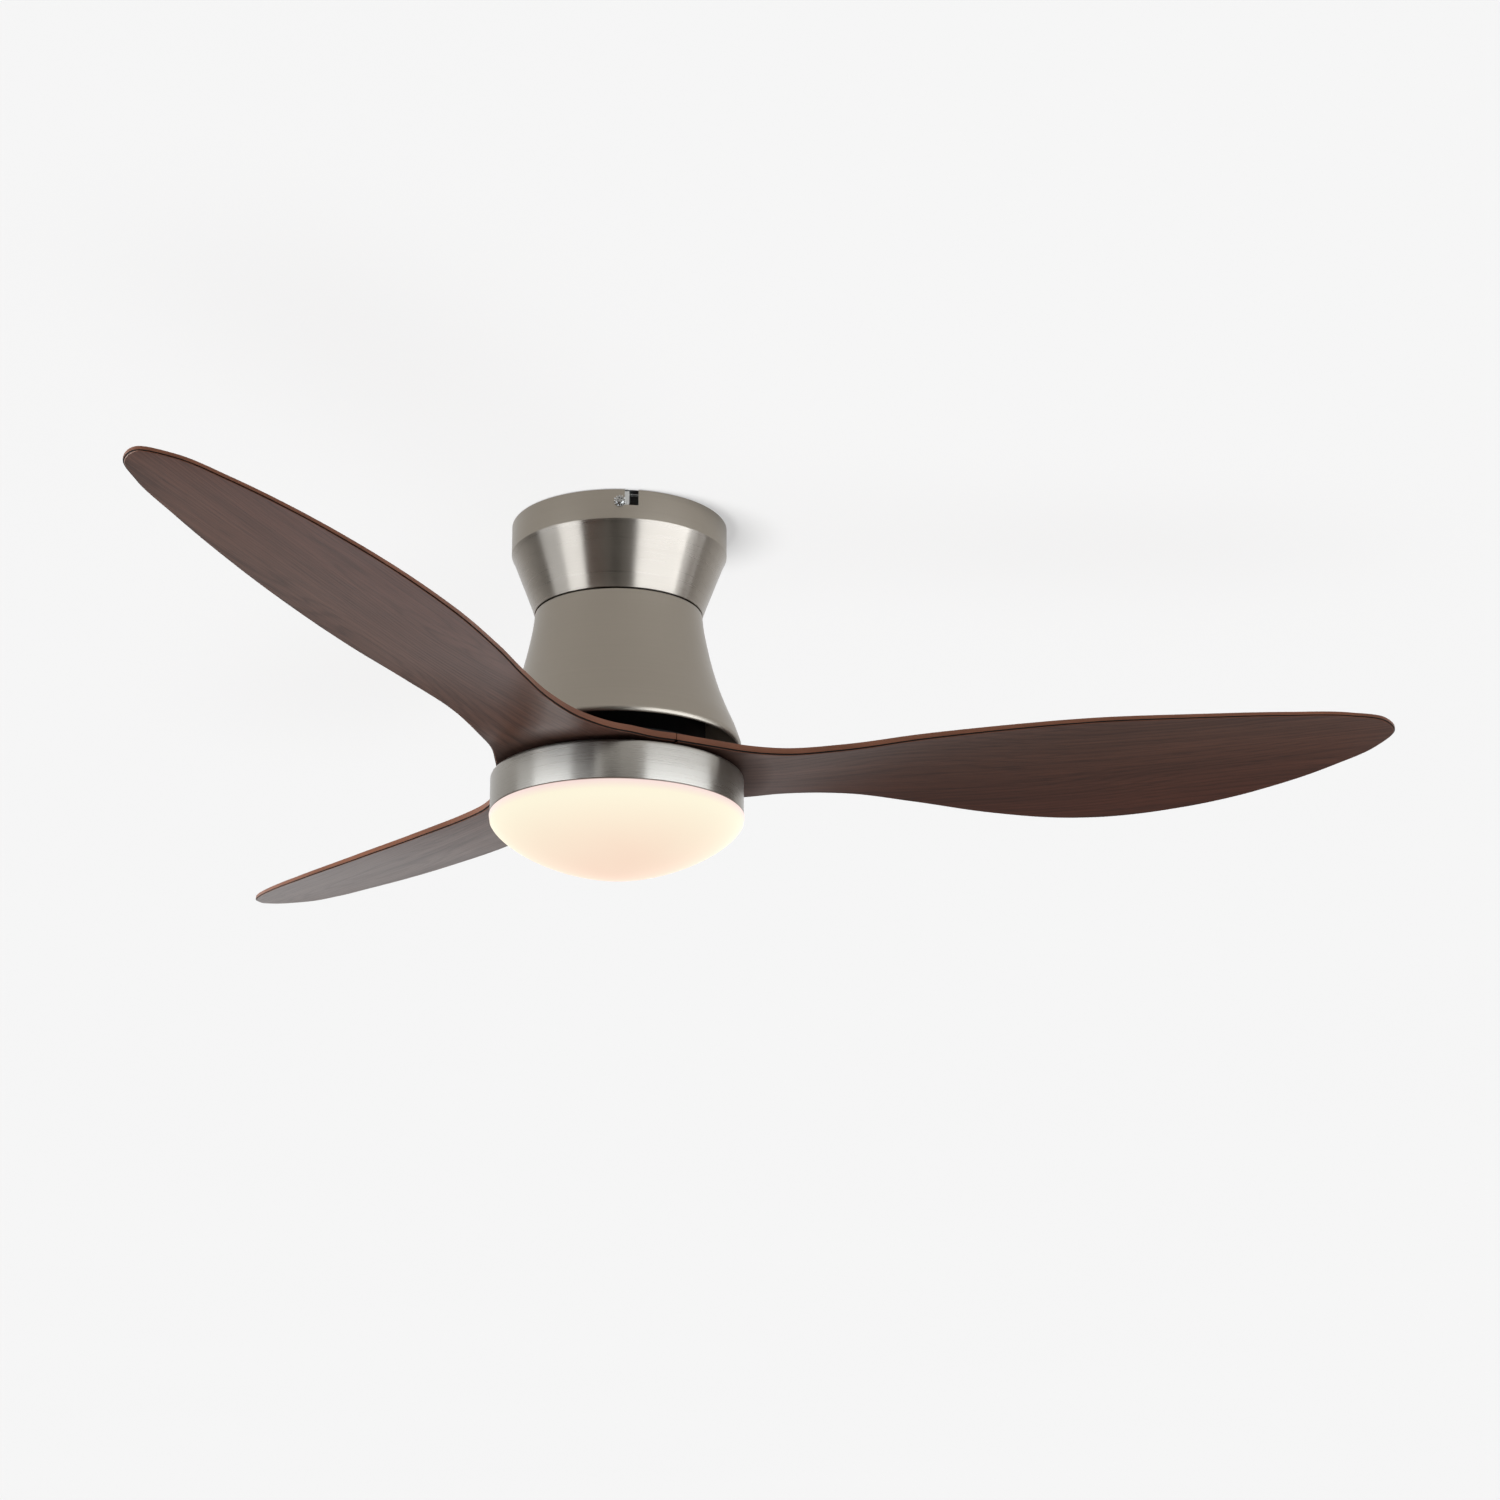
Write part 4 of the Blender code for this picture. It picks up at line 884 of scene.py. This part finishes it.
def build_dome(materials):
    radius = node_radius("diffuser")
    apex, neck_top = node_heights("diffuser")
    depth = DOME_SPRING_Z - apex
    outer, inner = [], []
    for step in range(DOME_STEPS):
        # Rows from the rim down to the apex of a bowl with full shoulders
        share = (step / DOME_STEPS) ** 0.8
        width = (1 - share ** 1.46) ** 0.62
        outer.append((radius * width, DOME_SPRING_Z - depth * share))
        inner.append(((radius - DOME_WALL) * width, DOME_SPRING_Z - (depth - DOME_WALL) * share))
    neck_in, neck_out = NECK_RADII
    rim = radius - DOME_RIM_ROUNDING
    outline = [(neck_in, neck_top), (neck_out, neck_top), (neck_out, DOME_RIM_Z), (rim, DOME_RIM_Z)]
    outline += arc(DOME_RIM_ROUNDING, QUARTER, 0, 4, (rim, DOME_RIM_Z - DOME_RIM_ROUNDING))
    outline += outer[1:] + [(0, apex), (0, apex + DOME_WALL)]
    outline += inner[::-1] + [(neck_in, DOME_RIM_Z - DOME_WALL)]
    add_piece("dome_shell", turned(outline), [materials["opal"]], "diffuser",
              ["diffuser"], sharp=50.0)


# ---- ceiling bracket and canopy screws

WIRE_HOLE_RADIUS = 12.0
CEILING_SLOT_OFFSET = 45.0
CEILING_SLOT_RADIUS = 2.75
CEILING_SLOT_HALF_RUN = 6.25
SIDE_HOLE_RADIUS = 3.3
SIDE_HOLE_OFFSET = 58.0
ARM_HALF_WIDTH = 8.5
BRACKET_SHEET = 2.0
TAB_HALF_WIDTH = 8.0
TAB_START = 77.5
TAB_BEND = 2.4
SHANK_RADIUS = 2.0
TAB_HOLE_RADIUS = 2.3
SCREW_LENGTH = 9.8
HEAD_HEIGHT = 2.3
HEAD_RADIUS = 4.0
CROSS_HALF_LENGTH = 2.5
CROSS_HALF_WIDTH = 0.65
STAR_RADII = (3.9, 5.0)
STAR_TEETH = 12


def build_bracket(materials):
    top = node_heights("ceiling_bracket")[1]
    radius = node_radius("ceiling_bracket")
    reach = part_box("ceiling_bracket")[1].y / MM
    screw_z = node_centre("canopy_screw_front").z
    arm = math.asin(ARM_HALF_WIDTH / radius)
    outer = arc(radius, -QUARTER + arm, QUARTER - arm, 70)
    outer += arc(radius, QUARTER + arm, 3 * QUARTER - arm, 70)
    holes = [circle(WIRE_HOLE_RADIUS, 48, (0, CEILING_SLOT_OFFSET))]
    for side in (-1, 1):
        holes.append(circle(SIDE_HOLE_RADIUS, 24, (side * SIDE_HOLE_OFFSET, 0)))
        x = side * CEILING_SLOT_OFFSET
        for y in (-CEILING_SLOT_OFFSET, CEILING_SLOT_OFFSET):
            holes.append(arc(CEILING_SLOT_RADIUS, -QUARTER, QUARTER, 12,
                             (x + CEILING_SLOT_HALF_RUN, y))
                         + arc(CEILING_SLOT_RADIUS, QUARTER, 3 * QUARTER, 12,
                               (x - CEILING_SLOT_HALF_RUN, y)))
    add_piece("bracket_plate", plate(outer, holes, top - BRACKET_SHEET, top),
              [materials["zinc_steel"]], "fan_mount", ["ceiling_bracket"])
    # The tab: from the disc, round the bend and down, to a half-round end about the screw
    rows = [(TAB_HALF_WIDTH, TAB_START, top, 0.0)]
    for step in range(7):
        angle = QUARTER * step / 6
        rows.append((TAB_HALF_WIDTH, reach - TAB_BEND + TAB_BEND * math.sin(angle),
                     top - TAB_BEND + TAB_BEND * math.cos(angle), angle))
    rows.append((TAB_HALF_WIDTH, reach, top + screw_z, QUARTER))
    for step in range(1, 12):
        angle = QUARTER * step / 12
        rows.append((TAB_HALF_WIDTH * math.cos(angle), reach,
                     screw_z - TAB_HALF_WIDTH * math.sin(angle), QUARTER))
    hole = turned([(0, 80), (TAB_HOLE_RADIUS, 80), (TAB_HOLE_RADIUS, 95), (0, 95)], SCREW_SIDES)
    place = lift(screw_z) @ FACING_FRONT
    for turn, name in ((0.0, "front"), (math.pi, "rear")):
        mesh = cut_away(strip(rows, BRACKET_SHEET), [(hole.copy(), place)])
        mesh.transform(spin(turn))
        add_piece(f"bracket_tab_{name}", mesh, [materials["zinc_steel"]], "fan_mount",
                  sharp=30.0)


def strip(rows, sheet):
    """A bent strip toward -Y from rows of (half width, reach, height, bend angle)."""
    edge = SOFT_EDGE
    corner_steps = ((1, edge, 0), (1, 0, edge), (1, 0, sheet - edge), (1, edge, sheet),
                    (-1, edge, sheet), (-1, 0, sheet - edge), (-1, 0, edge), (-1, edge, 0))
    vertices = []
    for half, reach, height, angle in rows:
        normal = Vector((0, -math.sin(angle), math.cos(angle)))
        place = Vector((0, -reach, height))
        for side, width, depth in corner_steps:
            sideways = Vector((side * max(half - width, 0.05), 0, 0))
            vertices.append(tuple(place + sideways - normal * depth))
    faces = []
    loops = [list(range(first, first + 8)) for first in range(0, len(vertices), 8)]
    for here, after in zip(loops, loops[1:]):
        faces += bridge(here, after)
    faces += [loops[0], loops[-1]]
    return mesh_from(vertices, faces)


def screw_mesh():
    """A domed screw with a cross recess, standing on Z = 0 under its head."""
    tip = HEAD_HEIGHT - SCREW_LENGTH
    outline = [(0, HEAD_HEIGHT)]
    for step in range(1, 9):
        angle = QUARTER * step / 8
        outline.append((HEAD_RADIUS * math.sin(angle), 0.9 + 1.4 * math.cos(angle)))
    outline += [(HEAD_RADIUS, 0.25), (HEAD_RADIUS - 0.2, 0), (SHANK_RADIUS, 0),
                (SHANK_RADIUS, tip + 0.6), (SHANK_RADIUS - 0.5, tip), (0, tip)]
    long, wide = CROSS_HALF_LENGTH, CROSS_HALF_WIDTH
    cross = [(-long, -wide), (-wide, -wide), (-wide, -long), (wide, -long), (wide, -wide),
             (long, -wide), (long, wide), (wide, wide), (wide, long), (-wide, long), (-wide, wide),
             (-long, wide)]
    recess = plate(cross, [], 0.7, 4.0, SHARP_EDGE)
    return cut_away(turned(outline, SCREW_SIDES), [(recess, spin(0.5))])


def star_mesh():
    """A star lock washer whose teeth are twisted a little."""
    count = 4 * STAR_TEETH
    star = [polar(STAR_RADII[index % 4 in (0, 1)], 2 * math.pi * index / count)
            for index in range(count)]
    mesh = plate(star, [circle(TAB_HOLE_RADIUS, SCREW_SIDES)], 0.1, 0.7, 0.12)
    for vertex in mesh.vertices:
        angle = math.atan2(vertex.co.y, vertex.co.x) * STAR_TEETH
        reach = max(Vector(vertex.co[:2]).length / MM - 3.4, 0.0)
        vertex.co.z += 0.06 * MM * reach * math.sin(angle)
    return mesh


def build_canopy_fasteners(materials):
    for name, turn in (("front", 0.0), ("rear", math.pi)):
        screw, washer = f"canopy_screw_{name}", f"lock_washer_{name}"
        side = -1 if name == "front" else 1
        # The head's outer face and the washer's inner face, as distances from the fan's axis
        head_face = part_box(screw)[side > 0].y * side / MM
        washer_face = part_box(washer)[side < 0].y * side / MM
        place = lift(node_centre(screw).z) @ spin(turn) @ FACING_FRONT
        for piece, mesh, distance, steel, node in (
                (f"canopy_screw_head_{name}", screw_mesh(), head_face - HEAD_HEIGHT,
                 "screw_steel", screw),
                (f"star_washer_{name}", star_mesh(), washer_face, "bright_steel", washer)):
            mesh.transform(place @ lift(distance))
            add_piece(piece, mesh, [materials[steel]], "fan_mount", [node],
                      sharp=30.0)


def finish_cad_nodes(materials):
    """CAD nodes that stay get the finish their slot names."""
    slots = {entry["node"]: entry["material_slot"] for entry in frame["record"]["subparts"]}
    for name, node in frame["nodes"].items():
        if node.hide_render or slots[name] not in materials:
            continue
        node.data.materials.clear()
        node.data.materials.append(materials[slots[name]])
        node.data.shade_smooth()
        node.data.set_sharp_from_angle(angle=math.radians(35.0))


# ---- stage

CAMERA_PLACE = (0.0, -2.7623, -1.1077)
CAMERA_PITCH = math.radians(18.214)
CAMERA_YAW = math.radians(2.311)
CAMERA_ROLL = math.radians(-0.162)
CAMERA_LENS = 83.0
CEILING_Z = 0.2
FLOOR_Z = -2400.0
STAGE_SIZE = 60000.0
BACKDROP_RADIUS = 28000.0
# The open strip over the canopy's rim, so that the ceiling doesn't shade the canopy's wall
CEILING_RIM_INSET = 3.2
# Radiance of the world's parts, seen in reflections
FRONT_RADIANCE = 0.14
BELOW_RADIANCE = 0.45
BACK_RADIANCE = 0.60
OVERHEAD_RADIANCE = 0.76
CEILING_REFLECTANCE = 0.25
CEILING_GLOW = 0.487
FLOOR_REFLECTANCE = 0.02
BACKDROP_GLOW = 0.905
# strength, spread in degrees and direction of travel
KEY_SUN = (5.2, 32.0, (0.47, 0.18, 0.87))
TOP_SUN = (1.6, 60.0, (0.2, 0.1, -1.0))
COOL_WHITE = (0.92, 1.0, 1.10)
WARM_WHITE = (1.05, 1.0, 0.95)
# Soft boxes: azimuth to the right of the fan's front, pitch, width and height in degrees, radiance
SHELL_BOXES = {
    "left_box": (-54, -16, 26, 44, 3.6),
    "left_fill": (-80, -16, 26, 34, 1.8),
    "left_top": (-55, 24, 50, 30, 0.5),
    "right_box": (49, -16, 56, 44, 4.2),
    "right_fill": (88, -18, 26, 30, 2.6),
    "right_top": (54, 24, 60, 30, 0.5),
}
RING_BOXES = {
    "ring_left": (-58, -16, 38, 44, 4.7),
    "ring_left_fill": (-86, -16, 22, 44, 1.6),
    "ring_centre": (-26, -4, 24, 16, 1.7),
    "ring_right": (56, -16, 64, 44, 5.1),
}
BLADE_BOXES = {
    "blade_left": (-95, -10, 60, 20, 6.0),
    "blade_right": (85, -36, 50, 30, 0.85),
}
BOX_DISTANCE = 2.0
BOX_TARGET = Vector((0, 0, -0.15))
# The dark card between the soft boxes: azimuth, pitch, width and height in degrees
DARK_CARD = (-4, -24, 12, 52)
CARD_DISTANCE = 1800.0


def add_stage(name, mesh, material):
    mesh.name = name
    mesh.materials.append(material)
    thing = add_object(name, mesh)
    return thing


def stage_sheet(name, height, outer, holes, colour, glow, faces_up):
    """A matt sheet that shows from one side only, so that it never hides the fan."""
    loops = [outer] + holes
    mesh = mesh_from([(x, y, height) for loop in loops for x, y in loop], flat_faces(loops))
    if (mesh.polygons[0].normal.z > 0) != faces_up:
        mesh.flip_normals()
    nodes = Nodes(name)
    mottle = nodes.noise((0.8, 0.8, 0.8), 2.0)
    tone = nodes.mix(nodes.remap(mottle, 0.3, 0.7), (colour * 0.99,) * 3, (colour,) * 3)
    nodes.set(Base_Color=tone, Roughness=0.9, Specular_IOR_Level=0.0)
    nodes.set(Emission_Color=(1.0, 1.0, 1.0), Emission_Strength=glow)
    mix = nodes.add("ShaderNodeMixShader")
    clear = nodes.add("ShaderNodeBsdfTransparent")
    nodes.link(nodes.add("ShaderNodeNewGeometry").outputs["Backfacing"], mix.inputs["Fac"])
    nodes.link(nodes.shader.outputs[0], mix.inputs[1])
    nodes.link(clear.outputs[0], mix.inputs[2])
    nodes.link(mix.outputs[0], nodes.tree.nodes["Material Output"].inputs["Surface"])
    return add_stage(name, mesh, nodes.material)


def build_backdrop():
    """A plain pale shell far round the stage, seen by the camera alone."""
    rows = [(0.0, BACKDROP_RADIUS)]
    for step in range(1, 24):
        rows.append(polar(BACKDROP_RADIUS, math.pi * step / 24)[::-1])
    rows.append((0.0, -BACKDROP_RADIUS))
    nodes = Nodes("backdrop")
    mottle = nodes.noise((0.4, 0.4, 0.4), 2.0)
    glow = nodes.remap(mottle, 0.3, 0.7, BACKDROP_GLOW * 0.995, BACKDROP_GLOW * 1.005)
    nodes.set(Base_Color=(0.0, 0.0, 0.0), Roughness=0.9, Specular_IOR_Level=0.0)
    nodes.set(Emission_Color=(1.0, 1.0, 1.0), Emission_Strength=glow)
    return add_stage("backdrop", turned(rows, 48), nodes.material)


def bearing(azimuth, pitch):
    """The direction at an azimuth to the right of -Y and a pitch above level, in radians."""
    return Vector((math.sin(azimuth) * math.cos(pitch), -math.cos(azimuth) * math.cos(pitch),
                   math.sin(pitch)))


def aim(thing, direction):
    thing.rotation_euler = Vector(direction).to_track_quat("-Z", "Y").to_euler()


def build_card():
    """A dark card that only reflections see, as between two soft boxes."""
    azimuth, pitch, width, height = (math.radians(angle) for angle in DARK_CARD)
    across = CARD_DISTANCE * math.tan(width / 2)
    up = CARD_DISTANCE * math.tan(height / 2)
    corners = [(-across, -up, 0), (across, -up, 0), (across, up, 0), (-across, up, 0)]
    felt = moulded("dark_felt", (0.03, 0.028, 0.025), 0.9)
    card = add_stage("dark_card", mesh_from(corners, [(0, 1, 2, 3)]), felt)
    outward = bearing(azimuth, pitch)
    card.location = outward * CARD_DISTANCE * MM
    aim(card, -outward)
    card.visible_camera = False
    card.visible_diffuse = False
    card.visible_shadow = False


def only_for(lamp, receivers, blockers=None):
    """Limits a lamp to some objects, and its shadows to those cast by others."""
    lit = bpy.data.collections.new(lamp.name + "_lit")
    for thing in receivers:
        lit.objects.link(thing)
    lamp.light_linking.receiver_collection = lit
    if blockers is not None:
        casting = bpy.data.collections.new(lamp.name + "_casting")
        for thing in blockers:
            casting.objects.link(thing)
        lamp.light_linking.blocker_collection = casting


def soft_box(name, azimuth, pitch, width, height, radiance, colour, receivers):
    """A soft box round the fan: its place and spread are angles seen from the fan."""
    outward = bearing(math.radians(azimuth), math.radians(pitch))
    light = bpy.data.lights.new(name, "AREA")
    light.shape = "RECTANGLE"
    light.size = 2 * BOX_DISTANCE * math.tan(math.radians(width / 2))
    light.size_y = 2 * BOX_DISTANCE * math.tan(math.radians(height / 2))
    light.energy = radiance * math.pi * light.size * light.size_y
    light.color = colour
    lamp = add_object(name, light)
    lamp.location = BOX_TARGET + outward * BOX_DISTANCE
    aim(lamp, -outward)
    lamp.visible_camera = False
    only_for(lamp, receivers)


def sun(name, strength, spread, direction, receivers, blockers):
    light = bpy.data.lights.new(name, "SUN")
    light.energy = strength
    light.angle = math.radians(spread)
    lamp = add_object(name, light)
    aim(lamp, direction)
    only_for(lamp, receivers, blockers)


def build_world():
    """Bright overhead, dim in front and below, and brighter again low behind the fan."""
    world = bpy.data.worlds.new("studio")
    bpy.context.scene.world = world
    world.use_nodes = True
    nodes = NodeTree(world.node_tree)
    direction = nodes.add("ShaderNodeSeparateXYZ")
    nodes.link(nodes.add("ShaderNodeTexCoord").outputs["Generated"], direction.inputs[0])

    def ramp(letter, *limits):
        return nodes.remap(direction.outputs[letter], *limits, ease="SMOOTHSTEP")

    def product(first, second):
        return nodes.math("MULTIPLY", first, second)

    behind = product(ramp("Y", -0.1, 0.7), ramp("X", -0.40, 0.02, 0.35, 1.0))
    low_glow = product(ramp("Z", -0.60, -0.25, 0.0, BACK_RADIANCE),
                       ramp("Z", -0.25, -0.08, 1.0, 0.92))
    overhead = product(ramp("Z", -0.06, 0.1, FRONT_RADIANCE, OVERHEAD_RADIANCE),
                       ramp("Y", -0.5, 0.3, 1.0, 0.8))
    below = ramp("Z", -0.9, -0.72, BELOW_RADIANCE, 0.0)
    rest = nodes.math("ADD", overhead, below)
    background = nodes.tree.nodes["Background"]
    nodes.link(nodes.math("ADD", product(behind, low_glow), rest), background.inputs["Strength"])
    background.inputs["Color"].default_value = (1.0, 1.0, 1.0, 1.0)


def build_stage():
    pieces = [thing for thing in bpy.context.scene.objects
              if thing.type == "MESH" and not thing.hide_render]

    def named(*starts):
        return [thing for thing in pieces if thing.name.startswith(starts)]

    edge = STAGE_SIZE / 2
    square = [(-edge, -edge), (edge, -edge), (edge, edge), (-edge, edge)]
    under_canopy = circle(node_radius("canopy") - CEILING_RIM_INSET, MEDIUM_SIDES)
    ceiling = stage_sheet("ceiling", CEILING_Z, square, [under_canopy], CEILING_REFLECTANCE,
                          CEILING_GLOW, False)
    # Under the canopy the ceiling has no glow: painted shade, where the canopy keeps the room's light
    # off it.
    stage_sheet("ceiling_shade_under_canopy", CEILING_Z, under_canopy, [], CEILING_REFLECTANCE, 0.0,
                False)
    floor = stage_sheet("floor", FLOOR_Z, square, [], FLOOR_REFLECTANCE, BACKDROP_GLOW, True)
    for sheet in (floor, build_backdrop()):
        sheet.visible_shadow = False
        sheet.visible_diffuse = False
        sheet.visible_glossy = False
    build_world()
    build_card()
    # The dome glows by itself, and the dark pieces between blades and housing get no box.
    unlit = named("blade_", "carrier_", "rotor_", "light_pan", "ring_shell", "dome_shell")
    shells = [thing for thing in pieces if thing not in unlit]
    for boxes, colour, receivers in ((SHELL_BOXES, COOL_WHITE, shells),
                                     (RING_BOXES, COOL_WHITE, named("ring_shell")),
                                     (BLADE_BOXES, WARM_WHITE, named("blade_panel"))):
        for name, box in boxes.items():
            soft_box(name, *box, colour, receivers)
    sun("key", *KEY_SUN, [ceiling], named("canopy_shell"))
    # The ceiling shades the bracket's top, so views from above need a lamp of its own for it.
    sun("top", *TOP_SUN, named("bracket_plate"), pieces)


def build_camera():
    data = bpy.data.cameras.new("camera")
    data.lens = CAMERA_LENS
    data.sensor_width = 36.0
    camera = add_object("camera", data)
    camera.location = CAMERA_PLACE
    level = math.cos(CAMERA_PITCH)
    forward = Vector((math.sin(CAMERA_YAW) * level, math.cos(CAMERA_YAW) * level,
                      math.sin(CAMERA_PITCH)))
    turn = forward.to_track_quat("-Z", "Y").to_matrix() @ Matrix.Rotation(CAMERA_ROLL, 3, "Z")
    camera.rotation_euler = turn.to_euler()
    bpy.context.scene.camera = camera


def main():
    materials = make_materials()
    build_camera()
    for build in (build_canopy, build_housing, build_blades, build_carrier, build_ring,
                  build_dome, build_bracket, build_canopy_fasteners, finish_cad_nodes):
        build(materials)
    build_stage()
    bpy.context.scene.view_settings.view_transform = "Standard"


main()
